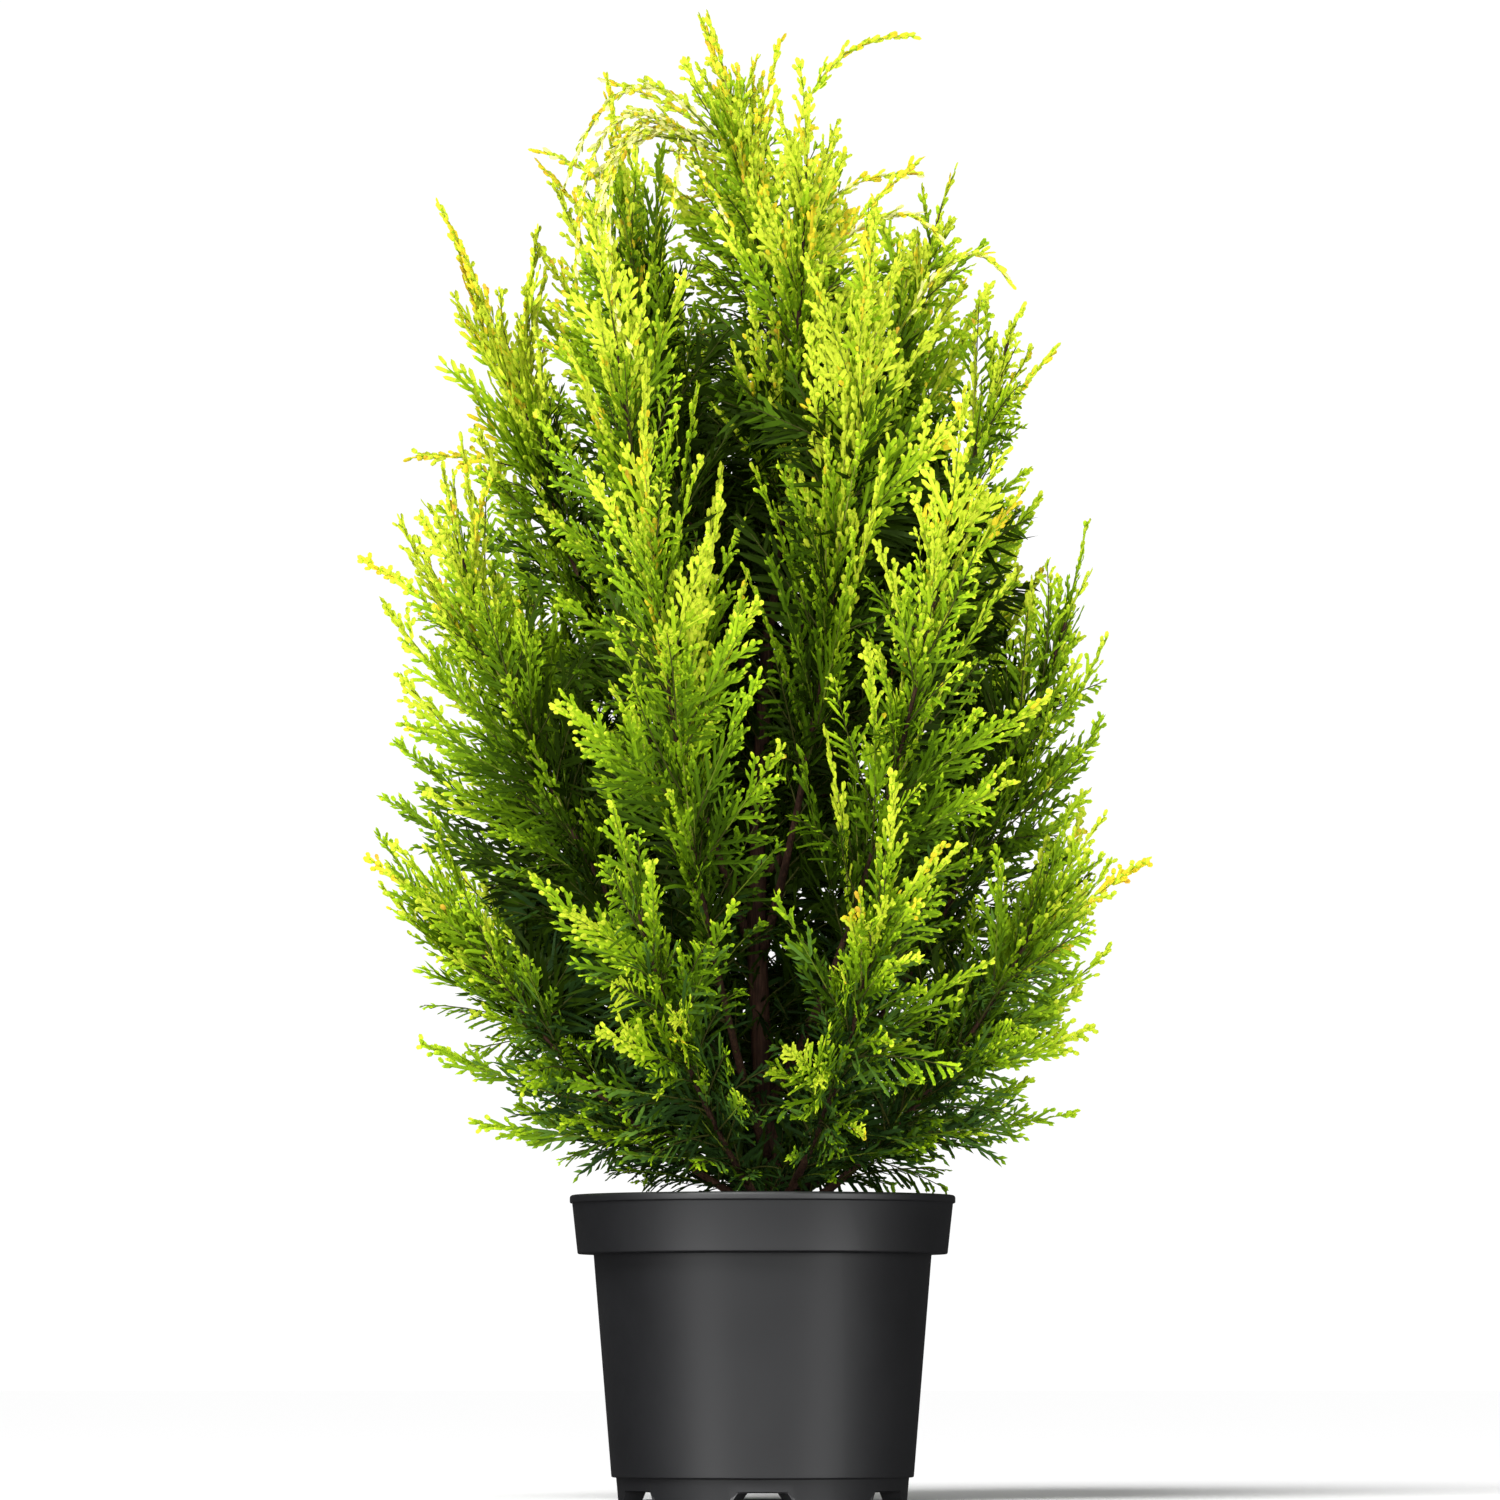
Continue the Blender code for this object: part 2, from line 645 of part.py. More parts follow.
# ================================================================ the whole plant
def main():
    for old in list(bpy.data.objects):
        bpy.data.objects.remove(old)

    black_plastic = material("black_plastic", (0.018, 0.019, 0.021), 0.42)
    soil = material("compost", (0.045, 0.028, 0.018), 0.95)
    bark = material("bark", (0.16, 0.075, 0.045), 0.85)
    deep = material("green_deep", (0.06, 0.17, 0.02), 0.5)
    fresh = material("green_fresh", (0.14, 0.30, 0.02), 0.5)
    golden = material("green_golden", (0.30, 0.45, 0.03), 0.5)
    greens = {"skirt": deep, "lower": fresh, "middle": fresh, "upper": golden, "leader": golden}

    plant = bpy.data.collections.new("potted_conifer")
    cutters = bpy.data.collections.new("cutters")
    for collection in (plant, cutters):
        bpy.context.scene.collection.children.link(collection)

    build_pot(plant, cutters, black_plastic)
    build_compost(plant, soil)
    build_trunk(plant, bark)

    plumes = build_plumes()
    trunk_heights = [mix(TRUNK_FOOT, TRUNK_TOP, step / 20) for step in range(21)]
    trees = [limb_tree([trunk_point(z) for z in trunk_heights], [trunk_radius(z) for z in trunk_heights])]
    for plume in plumes:
        if plume.bough:
            path, radii = plume.bough
            limb(f"bough_{plume.name}", path, radii, BOUGH_ROUNDNESS, plant, bark)
            trees.append(limb_tree(path, radii))

    space = Space(plumes, trees)
    for plume in plumes:
        build_mass(plume, space, plant, greens[plume.name.split("_")[0]])

    for cutter in cutters.objects:
        cutter.hide_render = True
        cutter.display_type = "WIRE"


main()
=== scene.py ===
"""The looks of the potted golden conifer: ferny sprays of scale leaves, bark, plastic pot and compost.

Units are metres, +Z is up, and the front is -Y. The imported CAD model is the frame. Each mass of foliage
grows here by the rule of its CAD node, with the same limbs and seeds: the CAD's blades become fronds, and
finer fronds fill in.
"""

import json
import math
import random
from dataclasses import dataclass
from typing import Callable, NamedTuple

import bmesh
import bpy
import numpy as np
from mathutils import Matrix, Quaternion, Vector
from mathutils.kdtree import KDTree
from mathutils.noise import seed_set, turbulence_vector

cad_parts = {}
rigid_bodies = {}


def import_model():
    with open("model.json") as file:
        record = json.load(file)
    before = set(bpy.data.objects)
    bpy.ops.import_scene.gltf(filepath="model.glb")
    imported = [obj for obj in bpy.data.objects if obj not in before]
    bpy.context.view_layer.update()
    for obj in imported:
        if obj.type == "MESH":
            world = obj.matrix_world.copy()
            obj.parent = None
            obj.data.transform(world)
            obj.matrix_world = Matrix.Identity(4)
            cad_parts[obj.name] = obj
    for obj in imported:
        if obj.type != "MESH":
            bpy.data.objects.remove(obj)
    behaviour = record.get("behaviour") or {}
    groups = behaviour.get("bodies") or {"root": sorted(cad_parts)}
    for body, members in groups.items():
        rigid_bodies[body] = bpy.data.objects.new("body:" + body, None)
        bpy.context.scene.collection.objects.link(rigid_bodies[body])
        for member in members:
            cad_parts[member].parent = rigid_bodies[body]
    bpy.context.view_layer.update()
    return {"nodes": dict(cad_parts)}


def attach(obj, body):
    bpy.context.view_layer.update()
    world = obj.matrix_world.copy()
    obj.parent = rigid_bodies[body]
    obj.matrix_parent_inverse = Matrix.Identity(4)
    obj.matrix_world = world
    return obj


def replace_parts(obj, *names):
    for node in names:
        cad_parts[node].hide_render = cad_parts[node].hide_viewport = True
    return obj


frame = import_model()

MM = 0.001
TAU = 2 * math.pi
UP = Vector((0, 0, 1))
GOLDEN_SHARE = 0.618
GOLDEN_ANGLE = 137.5
# the seeds of chance: a plume's own is added to those of its fronds, filling to column
SEEDS = {
    "filling": 500,
    "shade": 900,
    "core": 1300,
    "stem": 1700,
    "rim": 2100,
    "column": 2500,
    "closing": 11,
    "trunk": 7,
    "colour": 5,
    "crumbs": 3,
    "lumps": 4,
}

# -------- pot and compost, as in the CAD
POT_HEIGHT = 150 * MM
RIM_RADIUS = 95 * MM
LIP_HEIGHT = 4 * MM
LIP_OVERHANG = 1.2 * MM
BAND_HEIGHT = 29 * MM
BAND_FOOT_RADIUS = 91.2 * MM
SHOULDER_RADIUS = 83.2 * MM
BODY_FOOT_RADIUS = 74.4 * MM
FOOT_HEIGHT = 11.6 * MM
FOOT_RADIUS = 72.0 * MM
FOOT_GROUND_RADIUS = 71.0 * MM
FOOT_WIDTH = 2.6 * MM
FLOOR_HEIGHT = 7.0 * MM
WALL = 1.5 * MM
POT_STEPS = 180
NOTCH_COUNT = 6
NOTCH_DEPTH = 5.4 * MM
NOTCH_OUTER = (25 * MM, 32 * MM)  # how wide its outer opening is, at its top and its foot
NOTCH_INNER = (15 * MM, 23 * MM)
NOTCH_CHANNEL = 9 * MM  # how far the notch's drafted walls lead in
DRAIN_COUNT = 6
DRAIN_RADIUS = 5 * MM
DRAIN_RING_RADIUS = 48 * MM
COMPOST_TOP = 131 * MM
COMPOST_CROWN = 3 * MM
COMPOST_CROWN_RADIUS = 26 * MM
COMPOST_RINGS = 46
COMPOST_STEPS = 150
CRUMBS = 420
CRUMB_SIZES = (0.8, 2.6)  # millimetres

# -------- trunk and limbs, as in the CAD
GAP = 0.3 * MM
TRUNK_FOOT = COMPOST_TOP + GAP
TRUNK_TOP = 590 * MM
TRUNK_FOOT_RADIUS = 6.6 * MM
TRUNK_TIP_RADIUS = 1.5 * MM
ROOT_FLARE = 3.4 * MM
ROOT_FLARE_HEIGHT = 9 * MM
TRUNK_FOOT_X = 10 * MM
TRUNK_SWAY = 5 * MM
# name, count, first azimuth, fork heights, tip radius and height, leafy from, reach, bough radius
TIERS = (
    ("skirt", 8, -24, (0.138, 0.152), (0.146, 0.280), 0.24, 0.104, 2.7 * MM),
    ("lower", 7, -19, (0.170, 0.215), (0.158, 0.450), 0.33, 0.112, 3.0 * MM),
    ("middle", 6, 24, (0.270, 0.335), (0.122, 0.565), 0.33, 0.104, 2.6 * MM),
    ("upper", 5, -58, (0.400, 0.450), (0.084, 0.640), 0.33, 0.086, 2.1 * MM),
)
LIMB_SWING_ACROSS = 0.62
LIMB_SWING_UP = 0.33
LEADER_TIP = Vector((-0.012, 0.004, 0.676))
LEADER_REACH = 0.080
BOUGH_TIP_RADIUS = 1.6 * MM
STEM_TIP_RADIUS = 0.8 * MM
LEADER_RADII = (1.5 * MM, 0.7 * MM)
TRUNK_STEPS, TRUNK_SIDES = 170, 30
LEADER_STEPS, LEADER_SIDES = 20, 8
LIMB_STEPS, LIMB_SIDES = 60, 9
SEED = 11
FIRST_PLUME_SEED, LEADER_SEED = 100, 99
TIP_SCATTER = 0.07
# the long shoots: plume, and the tip's place across and its height
LONG_SHOOTS = (
    ("leader", -0.0270, 0.7370),
    ("leader", 0.0090, 0.7240),
    ("leader", 0.0740, 0.7270),
    ("upper_1", -0.0770, 0.7000),
    ("upper_5", -0.1100, 0.6640),
    ("middle_5", -0.1600, 0.6410),
    ("upper_3", 0.1090, 0.6210),
    ("upper_2", 0.0760, 0.6530),
    ("middle_2", 0.1450, 0.5690),
    ("middle_5", -0.1740, 0.5160),
    ("lower_7", -0.1960, 0.4620),
    ("skirt_8", -0.1940, 0.3150),
    ("skirt_3", 0.1880, 0.3130),
)
LONG_SHOOT_FROM = 0.72  # of the stem
LONG_SHOOT_SPREAD = 0.55
FULL_LONG_SHOOT_TOP = 0.55  # lower long shoots are fuller sprays
# the foot and the control of the leader's right shoot
ARCHING_SHOOT = ((0.0185, -0.004, 0.6825), (0.033, -0.006, 0.727))

# -------- the CAD's sprays
SPRAYS = 7
SPRAY_PLACES = (0.04, 0.84)
SPRAY_ANGLES = (50, 24)  # at the stem's foot and its tip
SPRAY_SCATTER = (0.9, 1.15)
TIP_SPRAY = 0.70
REACH_FALL = 0.35  # how much shorter the sprays are at the stem's tip
SPRAY_SINK = 3.0 * MM
SPRAY_BOW = 0.12
SPRAY_SHARES = (1.0, 0.84, 0.7, 0.58)
SPRAY_TURNS = (0, 35, -35, 70, -70, 110, -110, 150)
TIP_MATCH = 0.5 * MM  # a CAD blade stands where a corner of its node lies this near to the blade's tip
LOWEST_LEAF = POT_HEIGHT + 2.5 * MM
LOWEST_RIM_LEAF = POT_HEIGHT + 1 * MM
UNDERSIDE_RISE = 0.75
AXIS_SAMPLES = 9

# -------- finer fronds between the CAD's sprays
FILLING = 24  # bright fronds on one stem
FILLING_PLACES = (0.0, 0.97)
FILLING_SHARE = (0.58, 1.0)  # of the CAD sprays' reach
FILLING_ANGLES = (42, 13)
FILLING_WAVER = 8
FILLING_ROLL = 50
FILLING_BOW = 0.24
FILLING_SPREAD = (0.70, 1.10)
COMB_SHARE = {"skirt": 0.60, "lower": 0.42, "middle": 0.35, "upper": 0.25, "leader": 0.18}
OVERLAP = 12 * MM  # how far a filling frond may lean into a neighbour's space
FRONDS_FIT = (1.0, 0.8, 0.62)
DROOP = 0.48  # how much the lowest fronds nod
DROOP_BELOW = 0.30
SHADE_FRONDS = 11  # dark, combed fronds on one stem and its bough
SHADE_PLACES = (-0.30, 0.80)  # of the leafy stretch, so they begin on the bough
SHADE_SHARE = (0.45, 0.80)
SHADE_ANGLES = (68, 34)
SHADE_WAVER = 10
SHADE_ROLL = 70
SHADE_LIFT = 0.25
SHADE_SAG = 0.22
# the darkest, inside, which face outwards and close the crown; their dark tint is painted shade of the
# crown's depths, partly the inner foliage's own darker green
CORE_FRONDS = {"skirt": 26, "lower": 38, "middle": 32, "upper": 22, "leader": 20}
CORE_RADIUS = 0.80  # of the crown, the farthest that they reach
CORE_INSET = 0.93  # of the outline from the front
CORE_PLACES = (-0.42, 0.70)
CORE_TOP = 0.55  # the height above which there are none
CORE_OVERLAP = 32 * MM
CORE_SLANTS = (0.2, 1.3)
CORE_LEANS = (-0.35, 0.25)
CORE_ROLL = 45
CORE_SHARE = (0.45, 0.80)
CORE_REACH = 0.46
# dark fans dealt through the crown's inside, each from the nearest stem, so that little sky shows through;
# their dark tint is painted shade
CLOSING_FANS = 260
CLOSING_HEIGHTS = (0.21, 0.52)
CLOSING_RADII = (0.30, 0.76)  # of the crown
CLOSING_LENGTH = (0.050, 0.095)
CLOSING_PAST = 1.3  # how far past its place a fan reaches at least
CLOSING_LIFT = 10  # millimetres
CLOSING_WAVER = 35
CLOSING_PLACES = [step / 12 for step in range(-2, 10)]  # on a stem, where they may start
CLOSING_FALL = 3  # a start above the fan counts as this much farther
CLOSING_LOWEST = POT_HEIGHT + 30 * MM
STEM_FRONDS = 13  # small bright fronds that hug the stem
STEM_FROND_PLACES = (0.02, 0.95)
STEM_FROND_LENGTH = (0.028, 0.044)
STEM_FROND_ANGLES = (16, 30)
STEM_FROND_ROLLS = (60, 120)
TRUNK_FRONDS = 190
TRUNK_CORE_TOP = 0.53
TRUNK_FROND_LENGTH = (0.045, 0.085)
TRUNK_FRONDS_FROM = 0.160
TRUNK_FROND_RISES = (0.2, 1.0)
TRUNK_FROND_ROLL = 60
VALLEY = 26  # degrees each side of the front that the dark fans leave open
VALLEY_TOP = 0.46
COLUMNS = {"skirt": 2, "lower": 5, "middle": 6, "upper": 7, "leader": 16}  # upright ropes along each stem
COLUMN_PLACES = (0.10, 0.92)
COLUMN_ANGLES = (9, 20)
COLUMN_SHARE = (0.55, 0.95)
COLUMN_LIFT = 0.35
COLUMN_SPREAD = (0.55, 0.95)
RIM_FRONDS = {"skirt": 5, "lower": 3}  # on each bough's foot
RIM_FROND_LENGTH = (0.045, 0.070)
RIM_FROND_PLACES = (0.08, 0.30)  # along the bough
RIM_FROND_SWING = 45
RIM_FROND_RISES = (0.1, 0.5)
RIM_FROND_ROLL = 50

# how far the foliage reaches to the left and the right at a few heights
SIDE_HEIGHTS = (0.15, 0.165, 0.18, 0.25, 0.31, 0.38, 0.43, 0.48, 0.55, 0.60, 0.64, 0.68, 0.74)
LEFT_REACH = (0.050, 0.075, 0.102, 0.150, 0.182, 0.188, 0.186, 0.170, 0.130, 0.116, 0.098, 0.072, 0.030)
RIGHT_REACH = (0.070, 0.080, 0.090, 0.152, 0.174, 0.163, 0.152, 0.143, 0.128, 0.104, 0.062, 0.033, 0.020)
SHORTENING = (1.0, 0.85, 0.70, 0.55, 0.40)

# where a whip at the top starts, the point it is drawn over, where it ends, its breadth and how pale it is
NODDING_SHOOTS = (
    ((-0.023, -0.006, 0.675), (-0.054, -0.010, 0.698), (-0.0774, -0.012, 0.7018), 0.5, 0.1),
    ((-0.023, -0.006, 0.675), (-0.070, -0.040, 0.730), (-0.0965, -0.070, 0.6415), 0.4, 0.30),
    ((-0.031, -0.010, 0.673), (-0.089, -0.060, 0.712), (-0.0910, -0.095, 0.5910), 0.3, 0.5),
    ((-0.031, -0.010, 0.672), (-0.109, -0.070, 0.684), (-0.0636, -0.105, 0.5544), 0.3, 0.6),
    ((-0.028, -0.004, 0.670), (-0.080, -0.064, 0.704), (-0.0740, -0.100, 0.5990), 0.3, 0.5),
    ((-0.026, -0.012, 0.668), (-0.066, -0.060, 0.690), (-0.0800, -0.090, 0.6280), 0.4, 0.4),
    ((-0.028, -0.010, 0.671), (-0.096, -0.066, 0.696), (-0.0700, -0.104, 0.5700), 0.3, 0.6),
    ((-0.048, -0.022, 0.666), (-0.036, -0.050, 0.664), (-0.0170, -0.060, 0.6260), 0.3, 0.5),
    ((-0.040, -0.018, 0.668), (-0.040, -0.056, 0.668), (-0.0430, -0.070, 0.6330), 0.4, 0.4),
    ((-0.060, -0.016, 0.640), (-0.090, -0.020, 0.660), (-0.1120, -0.022, 0.6660), 0.7, 0.1),
    ((0.020, -0.004, 0.628), (0.041, -0.014, 0.659), (0.0777, -0.020, 0.6540), 0.5, 0.3),
    ((0.018, -0.010, 0.600), (0.066, -0.030, 0.655), (0.0880, -0.044, 0.6174), 0.5, 0.3),
    ((0.060, -0.030, 0.560), (0.098, -0.044, 0.640), (0.1220, -0.050, 0.5950), 0.5, 0.3),
)
# fronds that fill the outline out, for each plume: where on its stem, the tip's place across and its height
EXTRA_FRONDS = {
    "skirt_3": (
        (0.80, 0.150, 0.338), (0.70, 0.138, 0.322), (0.35, 0.104, 0.292), (0.15, 0.090, 0.272),
        (0.85, 0.170, 0.312), (0.10, 0.130, 0.206), (0.50, 0.168, 0.268), (0.30, 0.155, 0.250),
        (0.40, 0.160, 0.232), (0.15, 0.152, 0.190),
    ),
    "skirt_7": ((0.60, -0.118, 0.300), (0.45, -0.106, 0.288)),
    "skirt_8": (
        (0.60, -0.186, 0.300), (0.50, -0.188, 0.325), (0.30, -0.167, 0.224), (0.15, -0.140, 0.185),
        (0.70, -0.162, 0.335), (0.60, -0.164, 0.318), (0.00, -0.120, 0.194), (0.15, -0.128, 0.208),
    ),
    "lower_3": (
        (0.20, 0.168, 0.385), (0.50, 0.170, 0.425), (0.05, 0.100, 0.338), (0.00, 0.104, 0.300),
        (0.35, 0.160, 0.348), (0.70, 0.160, 0.480),
    ),
    "lower_4": (
        (0.15, 0.096, 0.328), (0.35, 0.094, 0.352), (0.05, 0.088, 0.316), (0.00, 0.092, 0.298),
        (0.95, 0.130, 0.468),
    ),
    "lower_6": ((0.45, -0.078, 0.440), (0.55, -0.098, 0.455), (0.30, -0.068, 0.412), (0.40, -0.088, 0.424)),
    "lower_7": (
        (0.15, -0.180, 0.372), (0.10, -0.186, 0.345), (0.30, -0.178, 0.405), (0.45, -0.186, 0.440),
        (0.60, -0.178, 0.480), (0.30, -0.164, 0.347), (0.85, -0.152, 0.504),
    ),
    "middle_2": ((0.30, 0.137, 0.495),),
    "middle_5": (
        (0.60, -0.140, 0.600), (0.50, -0.152, 0.622), (0.30, -0.142, 0.530), (0.70, -0.118, 0.600),
        (0.05, -0.086, 0.436), (0.15, -0.102, 0.452), (0.85, -0.112, 0.630),
    ),
    "middle_6": ((0.10, -0.076, 0.428),),
    "upper_1": ((0.50, -0.082, 0.660), (0.55, -0.050, 0.666)),
    "upper_3": ((0.20, 0.100, 0.575), (0.30, 0.112, 0.600)),
    "upper_5": (
        (0.50, -0.104, 0.655), (0.40, -0.112, 0.625), (0.30, -0.118, 0.600), (0.10, -0.110, 0.555),
        (0.20, -0.106, 0.592), (0.10, -0.100, 0.572),
    ),
    "leader": (
        (0.05, -0.034, 0.602), (0.12, -0.042, 0.618), (0.22, -0.040, 0.636), (0.30, -0.050, 0.654),
        (0.45, -0.036, 0.676), (0.15, 0.056, 0.630),
    ),
}
# bright ropes that stand in front of the crown's dark gap: plume, where on its stem, and the tip
FRONT_ROPES = (
    ("middle_1", 0.05, (0.012, -0.085, 0.480)),
    ("middle_1", 0.25, (0.030, -0.105, 0.520)),
    ("middle_1", 0.00, (0.045, -0.105, 0.470)),
    ("middle_1", 0.35, (0.004, -0.085, 0.535)),
    ("middle_1", 0.10, (-0.008, -0.090, 0.450)),
    ("middle_1", 0.50, (0.022, -0.110, 0.565)),
    ("middle_1", 0.60, (0.052, -0.118, 0.585)),
    ("middle_1", 0.15, (0.058, -0.112, 0.500)),
    ("upper_2", 0.00, (-0.006, -0.078, 0.585)),
    ("upper_2", 0.20, (0.030, -0.092, 0.600)),
    ("upper_2", 0.00, (-0.014, -0.082, 0.560)),
    ("upper_2", 0.10, (0.006, -0.088, 0.545)),
    ("upper_2", 0.05, (-0.022, -0.080, 0.530)),
    ("middle_1", 0.40, (0.012, -0.098, 0.520)),
    ("middle_1", 0.30, (-0.004, -0.092, 0.500)),
    ("middle_1", 0.45, (0.040, -0.112, 0.545)),
    ("lower_1", 0.50, (-0.020, -0.112, 0.485)),
    ("lower_1", 0.40, (-0.008, -0.105, 0.445)),
    ("middle_6", 0.10, (-0.020, -0.085, 0.500)),
    ("middle_6", 0.30, (-0.032, -0.088, 0.540)),
    ("middle_6", 0.20, (-0.010, -0.080, 0.475)),
    ("lower_1", 0.30, (-0.042, -0.138, 0.405)),
    ("lower_1", 0.15, (-0.062, -0.128, 0.380)),
    ("lower_1", 0.45, (-0.030, -0.140, 0.440)),
    ("lower_1", 0.60, (-0.058, -0.155, 0.490)),
    ("lower_2", 0.10, (0.030, -0.115, 0.370)),
    ("lower_2", 0.30, (0.050, -0.130, 0.410)),
)

# -------- widths and shapes of the shoots
RIDGE = 0.55  # how high a blade's fold stands, of its half width
MIDRIB_WIDTH = 1.2 * MM
BRANCHLET_WIDTH = 2.1 * MM
BRANCHLETS_KEPT = 0.80
SHORTEST_BRANCHLET = 2 * MM
SHOOT_WIDTHS = (1.5 * MM, 2.5 * MM)  # in the shade, and at the bright tips
WIDTH_SCATTER = (0.85, 1.15)
SHAPES_FROM = (0.18, 0.42, 0.72)  # tones from which a shoot has two triangles, a fold or a rounded tip
COMB_WIDTH = 1.9 * MM
COMB_SAG = 0.30  # how much the fingers hang, as a share of their length
SAG_SCATTER = (0.3, 1.3)
FRINGE_WIDTH = 1.5 * MM
CORE_WIDTH = 2.4 * MM
ROPE_SIDE_WIDTH = 1.9 * MM * 0.8
ROPE_SHOOT_WIDTH = 2.4 * MM

# -------- tones and colours
# how far the crown reaches from its axis at a few heights
CROWN_HEIGHTS = (0.13, 0.19, 0.31, 0.45, 0.56, 0.66, 0.74)
CROWN_RADII = (0.075, 0.125, 0.175, 0.165, 0.130, 0.070, 0.020)
OPEN_BRIGHTNESS = 0.66  # what standing at the crown's surface adds to a shoot's tone: painted shade deep inside, partly the inner foliage's own darker green
OPEN_POWER = 1.4
TOP_FROM = 0.50
TOP_SPAN = 0.15
TOP_BRIGHTNESS = 0.74
LOW_BELOW = 0.30  # the lowest sprays are duller
LOW_SPAN = 0.12
LOW_DULLNESS = 0.18
RISE_BRIGHTNESS = {"skirt": 0.10, "lower": 0.30, "middle": 0.38, "upper": 0.16, "leader": 0.0}  # up each stem: painted light, as a spray further out along its stem stands more in the light
RISE_MIDDLE = 0.3
HEIGHT_BRIGHTNESS = 0.25  # for a metre
HEIGHT_MIDDLE = 0.35
PLUME_TONES = {"upper_1": -0.24}  # it stands in the shade of the nodding shoots
# the core fans' low tone is painted shade of the crown's depths, over the inner foliage's own darker green
KIND_TONES = {"full": 0.03, "comb": 0.0, "core": -0.38, "rope": 0.14}
TONE_SCATTER = 0.12
COOL_SHARE = 0.65  # of the lowest shoots, which are bluer
COOL_BELOW = 0.34
COOL_SPAN = 0.14
GILD_FROM = 0.44  # the height from which shoots are golden at the tip
GILD_RISE = 0.4
GILD_LEAST = 0.02
GILD_MORE = 0.35  # on a few sprays
GILDED_SPRAYS = 0.08
AMBER_SHARE = 0.07  # of the golden ones
TINT_SCATTER = 0.04

LEAF_SLOTS = {
    "skirt": "foliage_deep",
    "lower": "foliage_fresh",
    "middle": "foliage_fresh",
    "upper": "foliage_golden",
    "leader": "foliage_golden",
}
LEAF_TINTS = (
    ("leaf_shade", (0.018, 0.038, 0.001)),
    ("leaf_deep", (0.038, 0.082, 0.002)),
    ("leaf_green", (0.074, 0.152, 0.003)),
    ("leaf_fresh", (0.132, 0.246, 0.004)),
    ("leaf_bright", (0.216, 0.376, 0.007)),
    ("leaf_lime", (0.366, 0.548, 0.012)),
    ("leaf_yellow", (0.610, 0.715, 0.038)),
    ("leaf_gold", (0.765, 0.612, 0.026)),
    ("leaf_amber", (0.680, 0.430, 0.035)),
    ("leaf_straw", (0.860, 0.860, 0.300)),
    ("leaf_cool_deep", (0.020, 0.050, 0.009)),
    ("leaf_cool", (0.046, 0.110, 0.016)),
    ("leaf_cool_light", (0.098, 0.200, 0.024)),
)
WARM_CLASSES = 7  # the tints from shade to yellow
GOLD_CLASS, AMBER_CLASS, STRAW_CLASS = 7, 8, 9
COOL_CLASSES = 10  # the first of three
TWIG_TINTS = (
    ("twig_green", (0.062, 0.068, 0.014)),
    ("twig_fresh", (0.170, 0.235, 0.020)),
    ("twig_straw", (0.360, 0.360, 0.070)),
)
TWIG_STEPS = 6
TWIG_SIDES = 3
TWIG_TIP = 0.45  # of the foot's width
TWIG_COLOURS = {
    "full": (0, 0, 1, 1, 1, 1),
    "comb": (0, 0, 0, 0, 0, 0),
    "core": (0, 0, 0, 0, 0, 0),
    "rope": (1, 2, 2, 2, 2, 2),
}

# -------- light and camera
WORLD_SHOWN = 1.05
WORLD_LIGHT = 0.23
WORLD_REFLECTED = 0.05
SUN_STRENGTH = 3.4
SUN_ANGLE = 28
SUN_WAY = Vector((0.30, 0.58, -0.76))
# soft panels before the plant: place, size and power
PANELS = (
    ("panel_left", (-1.95, -2.32, 0.45), 1.7, 38),
    ("panel_front", (0, -2.9, 0.45), 1.0, 13),
    ("panel_right", (2.15, -2.20, 0.45), 1.7, 42),
)
PANEL_AIM = Vector((0, 0, 0.3))
CAMERA_PLACE = Vector((0, -4, 0.065))
CAMERA_AIM = Vector((-0.0062, 0, 0.370))
CAMERA_LENS = 194.6


# ======== small helpers
def heading(azimuth):
    """The level unit vector that faces an azimuth."""
    angle = math.radians(azimuth)
    return Vector((math.sin(angle), -math.cos(angle), 0))


def mix(a, b, share):
    return a + (b - a) * share


def clamped(share):
    return min(1, max(0, share))


def bezier(start, control, end, t):
    return start * (1 - t) ** 2 + control * (2 * t * (1 - t)) + end * t**2


def bezier_direction(start, control, end, t):
    return ((control - start) * (1 - t) + (end - control) * t).normalized()


def turned_about(axis, degrees, vector):
    return Quaternion(axis, math.radians(degrees)) @ vector


def turbulence(place, octaves):
    """Smooth noise, about -1 to 1."""
    return turbulence_vector(place, octaves, False)[0]


def unit(rows):
    return rows / np.maximum(np.linalg.norm(rows, axis=-1, keepdims=True), 1e-12)


def off_axis(place):
    return math.hypot(place.x, place.y)


def crown_radius(height):
    return np.interp(height, CROWN_HEIGHTS, CROWN_RADII)


def new_object(name, data):
    made = bpy.data.objects.new(name, data)
    bpy.context.scene.collection.objects.link(made)
    return made


def dressed(piece, slot, *nodes):
    """The piece rides on the part's one body, in place of some CAD nodes."""
    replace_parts(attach(piece, "root"), *nodes)


# ======== meshes from arrays
def joined_mesh(name, points, faces, tints, materials):
    """One smooth object from arrays of corners and triangles, with a material's number for each triangle."""
    mesh = bpy.data.meshes.new(name)
    mesh.vertices.add(len(points))
    mesh.vertices.foreach_set("co", np.asarray(points, np.float32).ravel())
    mesh.loops.add(faces.size)
    mesh.loops.foreach_set("vertex_index", np.asarray(faces, np.int32).ravel())
    mesh.polygons.add(len(faces))
    mesh.polygons.foreach_set("loop_start", np.arange(0, faces.size, 3, dtype=np.int32))
    used, slots = np.unique(tints, return_inverse=True)
    mesh.polygons.foreach_set("material_index", slots.astype(np.int32).ravel())
    mesh.polygons.foreach_set("use_smooth", np.ones(len(faces), bool))
    for tint in used:
        mesh.materials.append(materials[tint])
    mesh.update(calc_edges=True)
    mesh.validate()
    return new_object(name, mesh)


